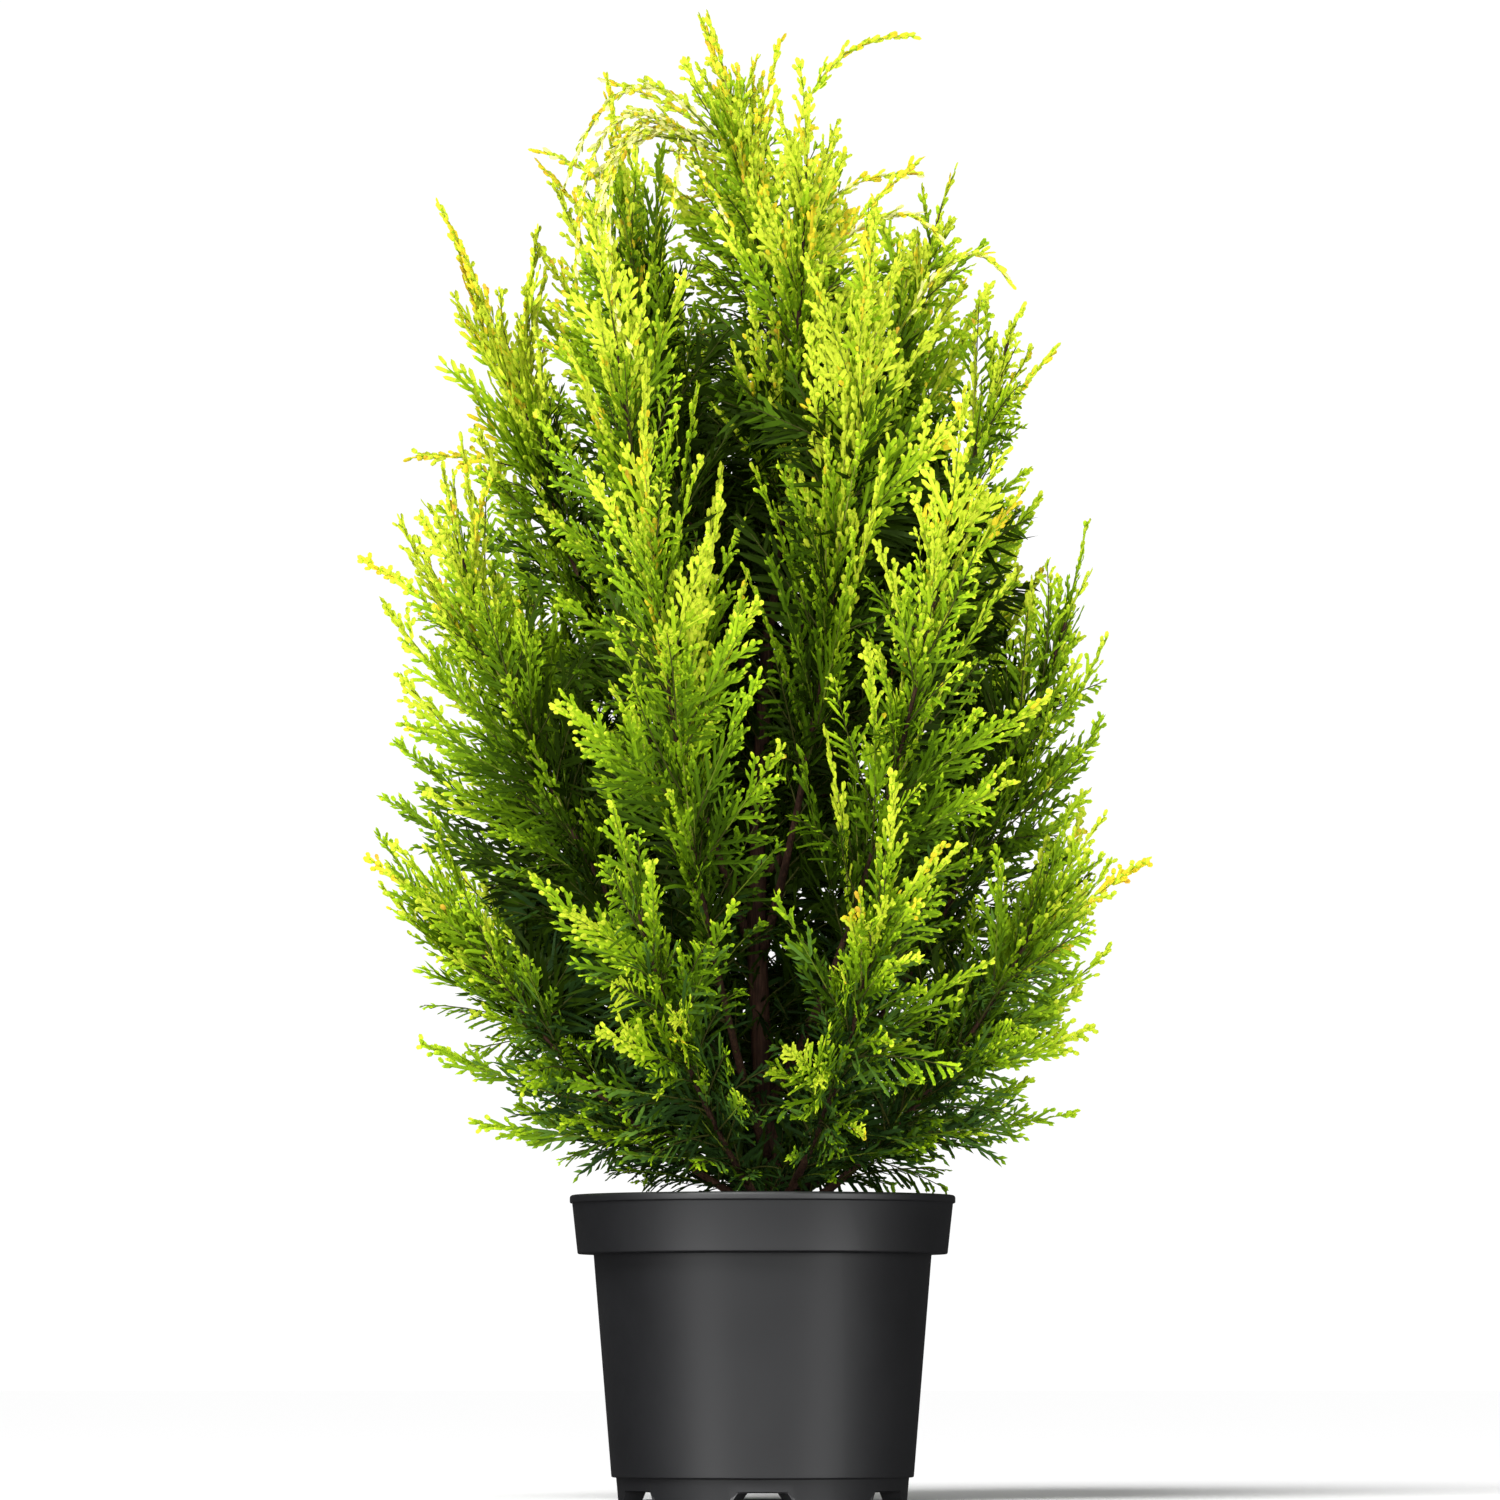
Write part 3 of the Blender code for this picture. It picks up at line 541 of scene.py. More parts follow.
def repeated(corners, pattern, tints):
    """Corners of many like pieces (pieces, corners, 3) and one piece's triangles, as joined arrays.

    A piece has one tint, or a row with one for each of its triangles.
    """
    count, size = corners.shape[:2]
    faces = np.array(pattern)[None, :, :] + (np.arange(count) * size)[:, None, None]
    tints = np.broadcast_to(tints.reshape(count, -1), (count, len(pattern)))
    return corners.reshape(-1, 3), faces.reshape(-1, 3), tints.ravel()


def stacked(parts):
    """Several (points, faces, tints) as one."""
    firsts = np.cumsum([0] + [len(points) for points, _, _ in parts])
    faces = [part_faces + first for (_, part_faces, _), first in zip(parts, firsts)]
    points, tints = (np.concatenate([part[field] for part in parts]) for field in (0, 2))
    return points, np.concatenate(faces), tints


def tube_faces(rings, sides):
    """The triangles between rings of corners."""
    faces = []
    for ring in range(rings - 1):
        for corner in range(sides):
            a = ring * sides + corner
            b = ring * sides + (corner + 1) % sides
            faces += [(a, b, b + sides), (a, b + sides, a + sides)]
    return faces


# ======== shoots held as arrays
FIELDS = ("root", "lead", "lean", "normal", "length", "width", "tone", "cool", "gild", "pale", "spread")


class Rule(NamedTuple):
    """How shoots leave their parents: how far apart, over which stretch, at what angles and how long."""

    spacing: float
    span: tuple
    angles: tuple  # degrees from the parent, at its foot and its tip
    length: Callable
    tilt: float  # degrees out of the spray's plane
    curl: float
    brighten: float  # from the parent's foot to its tip
    ragged: float = 4  # degrees


class Shoots:
    """Many shoots of one kind, as arrays. A shoot's axis is root + (lead * s + lean * s * s) * length."""

    def __init__(self, **values):
        for field in FIELDS:
            setattr(self, field, np.asarray(values[field], float))

    def __len__(self):
        return len(self.root)

    def where(self, chosen):
        return Shoots(**{field: getattr(self, field)[chosen] for field in FIELDS})

    def at(self, share, owner=slice(None)):
        """Places and directions at shares of the axis: a row for each shoot, or one value for each owner."""
        fit = (-1,) + (1,) * (share.ndim - 1) + (3,)
        root, lead, lean = (getattr(self, field)[owner].reshape(fit) for field in ("root", "lead", "lean"))
        length = self.length[owner].reshape(fit[:-1] + (1,))
        s = share[..., None]
        return root + (lead * s + lean * s**2) * length, unit(lead + 2 * lean * s)

    def side_shoots(self, chance, rule):
        """Shoots that leave these ones turn and turn about, nearly in the plane of the spray."""
        count = np.maximum(2, (self.length * (rule.span[1] - rule.span[0]) / rule.spacing).astype(int))
        owner = np.repeat(np.arange(len(self)), count)
        order = np.arange(len(owner)) - np.repeat(np.cumsum(count) - count, count)
        size = len(owner)
        share = (order + 0.5 + chance.uniform(-0.3, 0.3, size)) / count[owner]
        share = mix(*rule.span, np.clip(share, 0, 1))
        way = np.where(order % 2, 1.0, -1.0)[:, None]
        place, ahead = self.at(share, owner)
        side = unit(np.cross(self.normal[owner], ahead))
        above = np.cross(ahead, side)
        lean = np.radians(chance.normal(0, rule.tilt, size))[:, None]
        spoke = side * way * np.cos(lean) + above * np.sin(lean)
        angle = np.radians(mix(*rule.angles, share) + chance.normal(0, rule.ragged, size))[:, None]
        lead = ahead * np.cos(angle) + spoke * np.sin(angle)
        outward = spoke * np.cos(angle) - ahead * np.sin(angle)
        normal = np.cross(lead, outward)
        bend = outward * (-rule.curl * chance.uniform(*SAG_SCATTER, size))[:, None]
        bow = normal * chance.normal(0, 0.07, size)[:, None]
        return Shoots(
            root=place,
            lead=lead,
            lean=bend + bow,
            normal=normal,
            length=rule.length(self.length[owner] * self.spread[owner], share, chance),
            width=np.ones(size),
            tone=self.tone[owner] + rule.brighten * (share - 0.5),
            cool=self.cool[owner],
            gild=self.gild[owner],
            pale=self.pale[owner],
            spread=np.ones(size),
        )


def frame_at(shoots, shares):
    """Places along every shoot, and the two vectors square to it there."""
    place, ahead = shoots.at(np.broadcast_to(shares, (len(shoots), len(shares))))
    side = unit(np.cross(shoots.normal[:, None, :], ahead))
    return place, side, np.cross(ahead, side)


def half_widths(shoots, widths):
    return (shoots.width[:, None] * np.asarray(widths) / 2)[..., None]


def blades(shoots, shares, widths, tints):
    """Folded blades that begin and end in a point: a left corner, a ridge and a right corner in between."""
    place, side, above = frame_at(shoots, shares)
    half = half_widths(shoots, widths)
    rows = np.stack([place + side * half, place + above * half * RIDGE, place - side * half], axis=2)
    middle = rows[:, 1:-1].reshape(len(shoots), -1, 3)
    corners = np.concatenate([place[:, :1], middle, place[:, -1:]], axis=1)
    pattern = [(0, 1, 2), (0, 2, 3)]
    for station in range(len(shares) - 3):
        d, e, f, a, b, c = range(station * 3 + 1, station * 3 + 7)
        pattern += [(d, a, b), (d, b, e), (e, b, c), (e, c, f)]
    tip = corners.shape[1] - 1
    pattern += [(tip - 3, tip, tip - 2), (tip - 2, tip, tip - 1)]
    return repeated(corners, pattern, tints)


def graded(tints):
    """For each shoot's tint, the next darker one for its foot and the next brighter one for its tip."""
    warm = tints < WARM_CLASSES
    other = np.where(tints == GOLD_CLASS, WARM_CLASSES - 2, tints)
    foot = np.where(warm, np.maximum(tints - 1, 0), other)
    return foot, np.where(warm, np.minimum(tints + 1, WARM_CLASSES - 1), tints)


def folded_leaves(shoots, tints):
    _, tip = graded(tints)
    return blades(shoots, (0, 0.55, 1), (0, 1.0, 0), np.stack([tints] * 2 + [tip] * 2, axis=1))


def rounded_leaves(shoots, tints):
    foot, tip = graded(tints)
    rows = np.stack([foot] * 2 + [tints] * 4 + [tip] * 2, axis=1)
    return blades(shoots, (0, 0.35, 0.82, 1), (0, 0.9, 0.9, 0), rows)


def spikes(shoots, tints):
    """Single triangles with a narrow foot."""
    place, side, _ = frame_at(shoots, (0, 0.6, 1))
    reach = side[:, 1] * shoots.width[:, None] / 2
    corners = [place[:, 0], place[:, 1] + reach, (place[:, 2] + place[:, 1] - reach) / 2]
    return repeated(np.stack(corners, axis=1), [(0, 1, 2)], tints)


def kites(shoots, tints):
    """Flat shoots of two triangles."""
    place, side, _ = frame_at(shoots, (0, 0.45, 1))
    reach = side[:, 1] * shoots.width[:, None] / 2
    corners = [place[:, 0], place[:, 1] + reach, place[:, 2], place[:, 1] - reach]
    return repeated(np.stack(corners, axis=1), [(0, 1, 2), (0, 2, 3)], tints)


def ribbons(shoots, shares, widths, tints):
    """Flat ribbons that end in a point."""
    place, side, _ = frame_at(shoots, shares)
    reach = (side * half_widths(shoots, widths))[:, :-1]
    edges = np.stack([place[:, :-1] + reach, place[:, :-1] - reach], axis=2)
    corners = np.concatenate([edges.reshape(len(shoots), -1, 3), place[:, -1:]], axis=1)
    pattern = []
    for first in range(0, len(shares) * 2 - 4, 2):
        pattern += [(first, first + 1, first + 3), (first, first + 3, first + 2)]
    tip = len(shares) * 2 - 2
    return repeated(corners, pattern + [(tip - 2, tip - 1, tip)], tints)


def rods(shoots, shares, widths, tints):
    """Three-sided rods along shoots."""
    place, side, above = frame_at(shoots, shares)
    radius = half_widths(shoots, widths)
    angles = [TAU * corner / TWIG_SIDES for corner in range(TWIG_SIDES)]
    rings = [place + (side * math.cos(angle) + above * math.sin(angle)) * radius for angle in angles]
    corners = np.stack(rings, axis=2).reshape(len(shoots), -1, 3)
    return repeated(corners, tube_faces(len(shares), TWIG_SIDES), tints)


# ======== the limbs, by the CAD's rule
def trunk_rise(height):
    return (height - TRUNK_FOOT) / (TRUNK_TOP - TRUNK_FOOT)


def trunk_point(height):
    rise = trunk_rise(height)
    across = TRUNK_FOOT_X * (1 - rise) ** 4 - TRUNK_SWAY * math.sin(TAU * 0.9 * rise)
    depth = TRUNK_SWAY * 0.8 * math.sin(TAU * 0.7 * rise)
    return Vector((across, depth, height))


def trunk_radius(height):
    flare = ROOT_FLARE * math.exp(-(height - TRUNK_FOOT) / ROOT_FLARE_HEIGHT)
    return mix(TRUNK_FOOT_RADIUS, TRUNK_TIP_RADIUS, trunk_rise(height) ** 0.85) + flare


class Plume(NamedTuple):
    """One mass of foliage: the curve of its limb and how far its fronds reach."""

    tier: str
    name: str
    outward: Vector
    limb: tuple
    leafy_from: float
    reach: float
    bough_radius: float
    seed: int

    @property
    def tip(self):
        return self.limb[2]

    def point(self, t):
        return bezier(*self.limb, mix(self.leafy_from, 1, t))

    def direction(self, t):
        return bezier_direction(*self.limb, mix(self.leafy_from, 1, t))

    def samples(self):
        return np.array([self.point(step / (AXIS_SAMPLES - 1)) for step in range(AXIS_SAMPLES)])

    def bough_start(self, first):
        """Where fronds begin that start on the bough: the leader has none."""
        return 0 if self.tier == "leader" else first


def limb_curve(fork_height, bough_radius, tip):
    trunk = trunk_point(fork_height)
    across = Vector((tip.x - trunk.x, tip.y - trunk.y, 0))
    control = trunk + across * LIMB_SWING_ACROSS + UP * (tip.z - fork_height) * LIMB_SWING_UP
    lead = (control - trunk).normalized()
    clear = trunk_radius(fork_height) + bough_radius * lead.z + GAP
    return trunk + across.normalized() * clear, control, tip


def build_plumes():
    plumes = []
    chance = random.Random(SEED)
    for tier, count, first_azimuth, fork, tip, leafy_from, reach, bough_radius in TIERS:
        for index in range(count):
            outward = heading(first_azimuth + 360 * index / count)
            fork_height = mix(*fork, index * GOLDEN_SHARE % 1)
            radius, height = tip
            radius *= 1 + TIP_SCATTER * chance.uniform(-1, 1)
            height = mix(fork_height, height, 1 + TIP_SCATTER * chance.uniform(-1, 1))
            curve = limb_curve(fork_height, bough_radius, outward * radius + UP * height)
            name, seed = f"{tier}_{index + 1}", FIRST_PLUME_SEED + len(plumes)
            plumes.append(Plume(tier, name, outward, curve, leafy_from, reach, bough_radius, seed))
    foot = trunk_point(TRUNK_TOP)
    curve = (foot, (foot + LEADER_TIP) / 2, LEADER_TIP)
    leader = Plume("leader", "leader", heading(0), curve, 0, LEADER_REACH, TRUNK_TIP_RADIUS, LEADER_SEED)
    return [*plumes, leader]


# ======== where the fronds stand
@dataclass
class Frond:
    """One flat spray along the axis root + (lead * s + lean * s * s) * length, square to its normal."""

    root: Vector
    lead: Vector
    lean: Vector
    normal: Vector
    length: float
    kind: str = "full"
    spread: float = 1.0
    tone: float = 0.0
    cool: float = 0.0
    gild: float = 0.0
    pale: float = 0.0
    width: float = MIDRIB_WIDTH

    def point(self, share):
        return self.root + (self.lead * share + self.lean * share**2) * self.length


def placed(plume, t, spiral, angle, length, **looks):
    """A spray on the stem by the CAD's rule: it lies in one plane with its stem and bows towards it."""
    stem = plume.direction(t)
    spoke = turned_about(stem, spiral, stem.cross(plume.outward).normalized())
    lead = stem * math.cos(math.radians(angle)) + spoke * math.sin(math.radians(angle))
    normal = stem.cross(spoke)
    root = plume.point(t) - lead * SPRAY_SINK
    return Frond(root, lead, normal * -SPRAY_BOW, normal, length + SPRAY_SINK, **looks)


def dealt(plume, kind, count, places):
    """Chances, places up the stem and turns round it by the golden angle, for one kind of frond."""
    chance = random.Random(plume.seed + SEEDS[kind])
    spiral = chance.uniform(0, 360)
    for index in range(count):
        spiral += GOLDEN_ANGLE
        yield chance, mix(*places, (index + 0.5) / count), spiral


def cad_fronds(plume):
    """The CAD's own sprays on this stem, each where its node has the blade's tip."""
    corners = frame["nodes"][f"foliage_{plume.name}"].data.vertices
    tree = KDTree(len(corners))
    for index, corner in enumerate(corners):
        tree.insert(corner.co, index)
    tree.balance()

    chance = random.Random(plume.seed)
    spiral = chance.uniform(0, 360)
    plans = [(1, plume.seed * GOLDEN_ANGLE, 0, plume.reach * TIP_SPRAY)]
    for index in range(SPRAYS):
        t = mix(*SPRAY_PLACES, index / (SPRAYS - 1))
        spiral += GOLDEN_ANGLE
        reach = plume.reach * (1 - REACH_FALL * t) * chance.uniform(*SPRAY_SCATTER)
        plans.append((t, spiral, mix(*SPRAY_ANGLES, t), reach))
    for t, spiral, angle, reach in plans:
        choices = ((share, turn) for share in SPRAY_SHARES for turn in SPRAY_TURNS)
        for share, turn in choices:
            frond = placed(plume, t, spiral + turn, angle, reach * share)
            if tree.find(frond.point(1))[2] < TIP_MATCH:
                yield frond
                break


def underside(place):
    """How much higher the foliage's underside is here than over the pot: it rises outside the rim."""
    return max(0, off_axis(place) - RIM_RADIUS) * UNDERSIDE_RISE


def has_room(frond, own, others, overlap=OVERLAP):
    """Whether a filling frond keeps to its plume's side of the crown and above the underside."""
    for share in (0.5, 0.8, 1.0):
        place = frond.point(share)
        if place.z < LOWEST_LEAF + underside(place):
            return False
        near = np.min(np.linalg.norm(own - place, axis=1))
        if near > np.min(np.linalg.norm(others - place, axis=1)) + overlap:
            return False
    return True


def fitted(frond, reach, own, others):
    """The frond at the greatest share of its reach that has room, as a list of one or none."""
    for share in FRONDS_FIT:
        frond.length = reach * share + SPRAY_SINK
        if has_room(frond, own, others):
            return [frond]
    return []


def side_reach(place):
    """How far the crown's outline from the front reaches at this height and on this side."""
    return np.interp(place.z, SIDE_HEIGHTS, LEFT_REACH if place.x < 0 else RIGHT_REACH)


def within_sides(frond):
    """The frond, shortened until its tip keeps within the crown's outline from the front."""
    whole = frond.length
    for share in SHORTENING:
        frond.length = whole * share
        tip = frond.point(1)
        if abs(tip.x) < side_reach(tip):
            break
    return frond


def kept_inside(fan):
    """Whether a dark fan, with its side branchlets, stays behind the crown's outline from the front."""
    side = fan.lead.cross(fan.normal) * fan.length * CORE_REACH * 0.8
    places = (fan.point(1), fan.point(0.5) + side, fan.point(0.5) - side)
    return all(abs(place.x) <= side_reach(place) * CORE_INSET for place in places)


def in_valley(place):
    """Whether a place is in the dark gap that the crown keeps open at the front."""
    return place.z < VALLEY_TOP and abs(math.degrees(math.atan2(place.x, -place.y))) < VALLEY


def filling_fronds(plume, own, others):
    """Finer fronds between the CAD's sprays."""
    for chance, t, spiral in dealt(plume, "filling", FILLING, FILLING_PLACES):
        angle = mix(*FILLING_ANGLES, t) + chance.uniform(-FILLING_WAVER, FILLING_WAVER)
        reach = plume.reach * (1 - REACH_FALL * t) * chance.uniform(*FILLING_SHARE)
        roll = chance.uniform(-FILLING_ROLL, FILLING_ROLL)
        bow = chance.uniform(-FILLING_BOW, FILLING_BOW)
        spread = chance.uniform(*FILLING_SPREAD)
        kind = "comb" if chance.random() < COMB_SHARE[plume.tier] else "full"
        droop = DROOP * max(0, (DROOP_BELOW - plume.point(t).z) / (DROOP_BELOW - POT_HEIGHT))
        frond = placed(plume, t, spiral, angle, reach, kind=kind, spread=spread)
        frond.normal = turned_about(frond.lead, roll, frond.normal)
        frond.lean = frond.normal * bow - UP * droop
        yield from fitted(frond, reach, own, others)


def shade_fronds(plume, own, others):
    """Dark, combed fronds inside the mass and on the end of its bough."""
    places = (plume.bough_start(SHADE_PLACES[0]), SHADE_PLACES[1])
    for chance, t, spiral in dealt(plume, "shade", SHADE_FRONDS, places):
        angle = mix(*SHADE_ANGLES, max(0, t)) + chance.uniform(-SHADE_WAVER, SHADE_WAVER)
        reach = plume.reach * (1 - REACH_FALL * max(0, t)) * chance.uniform(*SHADE_SHARE)
        roll = chance.uniform(-SHADE_ROLL, SHADE_ROLL)
        frond = placed(plume, t, spiral, angle, reach, kind="comb")
        frond.lead = (frond.lead + UP * SHADE_LIFT).normalized()
        frond.normal = turned_about(frond.lead, roll, frond.lead.orthogonal().normalized())
        frond.lean = UP * -SHADE_SAG
        yield from fitted(frond, reach, own, others)


def core_fronds(plume, own, others):
    """Dark fans that rise from the bough and the stem and face outwards, so that little light comes in."""
    chance = random.Random(plume.seed + SEEDS["core"])
    count = CORE_FRONDS[plume.tier]
    for index in range(count):
        root = plume.point(mix(plume.bough_start(CORE_PLACES[0]), CORE_PLACES[1], (index + 0.5) / count))
        outward = Vector((root.x, root.y, 0)).normalized()
        if plume.tier == "leader":
            outward = heading(index * GOLDEN_ANGLE)
        across = UP.cross(outward) * (1 if index % 2 else -1)
        slant = UP + across * chance.uniform(*CORE_SLANTS)
        lead = (slant + outward * chance.uniform(*CORE_LEANS)).normalized()
        facing = (outward - lead * outward.dot(lead)).normalized()
        reach = plume.reach * chance.uniform(*CORE_SHARE)
        normal = turned_about(lead, chance.uniform(-CORE_ROLL, CORE_ROLL), facing)
        frond = Frond(root, lead, outward * -0.1, normal, reach, kind="core")
        tip = frond.point(1)
        deep = off_axis(tip) < CORE_RADIUS * crown_radius(tip.z)
        inside = deep and root.z < CORE_TOP and kept_inside(frond) and not in_valley(frond.point(0.7))
        if inside and has_room(frond, own, others, CORE_OVERLAP):
            yield frond


def closing_fans(plumes):
    """Dark fans through the crown's inside, as lists for the plumes that they grow from."""
    chance = random.Random(SEEDS["closing"])
    fans = {plume.name: [] for plume in plumes}
    stems = [(plume, plume.point(place)) for plume in plumes for place in CLOSING_PLACES]
    for index in range(CLOSING_FANS):
        height = mix(*CLOSING_HEIGHTS, index * GOLDEN_SHARE % 1)
        azimuth = index * GOLDEN_ANGLE
        radius = crown_radius(height) * chance.uniform(*CLOSING_RADII)
        middle = heading(azimuth) * radius + UP * height
        away = [(root - middle).length + max(0, root.z - height) * CLOSING_FALL for _, root in stems]
        owner, root = stems[away.index(min(away))]
        lead = (middle - root + UP * CLOSING_LIFT * MM).normalized()
        turn = azimuth + 90 * (index % 2) + chance.uniform(-CLOSING_WAVER, CLOSING_WAVER)
        across = lead.cross(heading(turn)).normalized()
        length = max(chance.uniform(*CLOSING_LENGTH), (middle - root).length * CLOSING_PAST)
        fan = Frond(root, lead, UP * -0.08, across.cross(lead), length, kind="core")
        tip = fan.point(1)
        deep = off_axis(tip) < crown_radius(tip.z) and tip.z > CLOSING_LOWEST
        if deep and kept_inside(fan) and not in_valley(middle):
            fans[owner.name].append(fan)
    return fans


def stem_fronds(plume):
    """Small fronds that hug the stem and hide it."""
    for chance, t, spiral in dealt(plume, "stem", STEM_FRONDS, STEM_FROND_PLACES):
        angle = chance.uniform(*STEM_FROND_ANGLES)
        frond = placed(plume, t, spiral, angle, chance.uniform(*STEM_FROND_LENGTH))
        frond.normal = turned_about(frond.lead, chance.uniform(*STEM_FROND_ROLLS), frond.normal)
        frond.lean = frond.normal * 0.1
        yield frond


def trunk_fronds():
    """Short fronds in the shade, on the trunk itself."""
    chance = random.Random(SEEDS["trunk"])
    for index in range(TRUNK_FRONDS):
        height = mix(TRUNK_FRONDS_FROM, TRUNK_TOP, index / TRUNK_FRONDS)
        outward = heading(index * GOLDEN_ANGLE)
        length = chance.uniform(*TRUNK_FROND_LENGTH)
        rise = chance.uniform(*TRUNK_FROND_RISES)
        roll = chance.uniform(-TRUNK_FROND_ROLL, TRUNK_FROND_ROLL)
        if in_valley(outward + UP * height):
            continue
        lead = (outward + UP * rise).normalized()
        normal = turned_about(lead, roll, lead.cross(heading(index * GOLDEN_ANGLE + 90)).normalized())
        kind = "comb" if index % 3 == 0 or height > TRUNK_CORE_TOP else "core"
        yield Frond(trunk_point(height), lead, UP * -0.15, normal, length, kind=kind)


def column_shoots(plume):
    """Bright ropes that stand up along the stem."""
    for chance, t, spiral in dealt(plume, "column", COLUMNS[plume.tier], COLUMN_PLACES):
        angle = chance.uniform(*COLUMN_ANGLES)
        frond = placed(plume, t, spiral, angle, plume.reach * chance.uniform(*COLUMN_SHARE), kind="rope")
        frond.lead = (frond.lead + UP * COLUMN_LIFT).normalized()
        frond.lean = UP * -0.06 + heading(chance.uniform(0, 360)) * 0.08
        frond.normal = frond.lead.cross(heading(chance.uniform(0, 360))).normalized()
        frond.spread = chance.uniform(*COLUMN_SPREAD)
        yield within_sides(frond)


def rim_fronds(plume):
    """Low fronds on the bough's foot that nod over the compost and hide it."""
    chance = random.Random(plume.seed + SEEDS["rim"])
    for index in range(RIM_FRONDS.get(plume.tier, 0)):
        start = bezier(*plume.limb, chance.uniform(*RIM_FROND_PLACES))
        ahead = turned_about(UP, chance.uniform(-RIM_FROND_SWING, RIM_FROND_SWING), plume.outward)
        lead = (ahead + UP * chance.uniform(*RIM_FROND_RISES)).normalized()
        roll = chance.uniform(-RIM_FROND_ROLL, RIM_FROND_ROLL)
        normal = turned_about(lead, roll, lead.cross(UP.cross(ahead)).normalized())
        kind = "full" if index % 2 else "comb"
        frond = Frond(start, lead, UP * -0.2, normal, chance.uniform(*RIM_FROND_LENGTH), kind=kind)
        tip = frond.point(1)
        if tip.z > LOWEST_RIM_LEAF + underside(tip):
            yield frond


def curved_frond(root, control, tip, normal, **looks):
    """A frond along the curve from root to tip."""
    steps = [bezier(root, control, tip, step / 8) for step in range(9)]
    length = sum((b - a).length for a, b in zip(steps, steps[1:]))
    lead, lean = (control - root) * 2 / length, (root - control * 2 + tip) / length
    return Frond(root, lead, lean, normal, length, **looks)


def long_shoots(plume):
    """The CAD's long shoots of this plume: slender, sparse and golden at the tip."""
    for owner, across, height in LONG_SHOOTS:
        if owner != plume.name:
            continue
        root = plume.point(LONG_SHOOT_FROM)
        depth = plume.tip.y * (0.4 if abs(across) > 0.1 else 0.8)
        tip = Vector((across, depth, height))
        control = mix(root, tip, 0.5) + UP * (tip - root).length * 0.12
        if owner == "leader" and across > 0.05:
            root, control = (Vector(place) for place in ARCHING_SHOOT)
        kind = "full" if height < FULL_LONG_SHOOT_TOP else "rope"
        yield curved_frond(root, control, tip, heading(0), kind=kind, spread=LONG_SHOOT_SPREAD, gild=0.5)


def extra_fronds(plume):
    """The fronds that fill the outline out."""
    for t, across, height in EXTRA_FRONDS.get(plume.name, ()):
        root = plume.point(t)
        tip = Vector((across, root.y * 0.8, height))
        control = mix(root, tip, 0.5) + (heading(90) * (1 if across > 0 else -1) - UP) * 5 * MM
        yield curved_frond(root, control, tip, turned_about(UP, t * 100, heading(0)))


def front_ropes(plume):
    """The bright ropes before the dark gap: every third is a full spray."""
    for index, (owner, t, place) in enumerate(FRONT_ROPES):
        if owner == plume.name:
            root, tip = plume.point(t), Vector(place)
            control = mix(root, tip, 0.5) + plume.outward * 10 * MM
            kind, spread = ("full", 0.6) if index % 3 == 2 else ("rope", 0.9)
            yield curved_frond(root, control, tip, heading(70 * index), kind=kind, spread=spread, tone=0.30)


def nodding_shoots():
    """The whips that arch over at the top and hang, and their like on the right."""
    for *curve, breadth, pale in NODDING_SHOOTS:
        looks = {"kind": "rope", "spread": breadth, "pale": pale, "gild": 0.3, "tone": 0.15}
        yield curved_frond(*(Vector(place) for place in curve), heading(20), **looks)


def colour_frond(frond, plume, chance):
    """Each spray is a little brighter or duller, low ones are bluer, and some are gilded at the tip."""
    height = frond.point(1).z
    if frond.kind != "rope":
        frond.tone += PLUME_TONES.get(plume.name, 0)
    # painted light: a spray further up its stem is brighter, as it stands more in the light
    if frond.kind in ("full", "rope"):
        foot = plume.point(0).z
        rise = clamped((frond.root.z - foot) / (plume.tip.z - foot))
        frond.tone += RISE_BRIGHTNESS[plume.tier] * (rise - RISE_MIDDLE)
    higher = HEIGHT_BRIGHTNESS * (height - HEIGHT_MIDDLE)
    frond.tone += chance.gauss(0, TONE_SCATTER) + higher + KIND_TONES[frond.kind]
    frond.cool = COOL_SHARE * clamped((COOL_BELOW - height) / COOL_SPAN)
    if frond.gild == 0:
        more = GILD_MORE if chance.random() < GILDED_SPRAYS else 0
        frond.gild = max(GILD_LEAST, (height - GILD_FROM) * GILD_RISE) + more


# ======== the rules of the side shoots
def swelling(reach, power, swell, scatter):
    """Branchlets that lengthen from the foot at first and shorten towards the tip."""

    def length(parent, share, chance):
        longest = reach * parent * (1 - share) ** power * np.clip(swell[0] + share * swell[1], 0, 1)
        return longest * chance.uniform(*scatter, len(share)) + SHORTEST_BRANCHLET

    return length


def shortening(reach, top, power, scatter, limits):
    """Shoots that shorten towards a share of their parent just past its tip."""

    def length(parent, share, chance):
        longest = reach * parent * (top - share) ** power
        return np.clip(longest * chance.uniform(*scatter, len(share)), *limits)

    return length


def short(lengths, foot=1, fall=0):
    """Shoots whose length doesn't follow their parent's."""
    return lambda parent, share, chance: chance.uniform(*lengths, len(share)) * (foot - fall * share)


branchlet_length = swelling(0.38, 0.8, (0.4, 6), (0.50, 1.20))
tooth_length = swelling(0.38, 0.7, (0.3, 5), (0.85, 1.1))
core_length = swelling(CORE_REACH, 0.6, (0.3, 5), (0.85, 1.1))
leafy_length = shortening(0.45, 1.08, 0.5, (0.75, 1.2), (4.0 * MM, 10.5 * MM))
rope_length = shortening(0.26, 1, 0.7, (0.5, 1.1), (3 * MM, 22 * MM))
BRANCHLETS = Rule(3.4 * MM, (0.05, 0.99), (38, 24), branchlet_length, 20, 0.25, 0.42, ragged=8)
LEAFY_SHOOTS = Rule(3.2 * MM, (0.10, 0.98), (36, 26), leafy_length, 16, 0.14, 0.34)
COLLARS = Rule(2.3 * MM, (0.02, 1.0), (22, 18), short((4 * MM, 7 * MM)), 60, 0.1, 0.42)
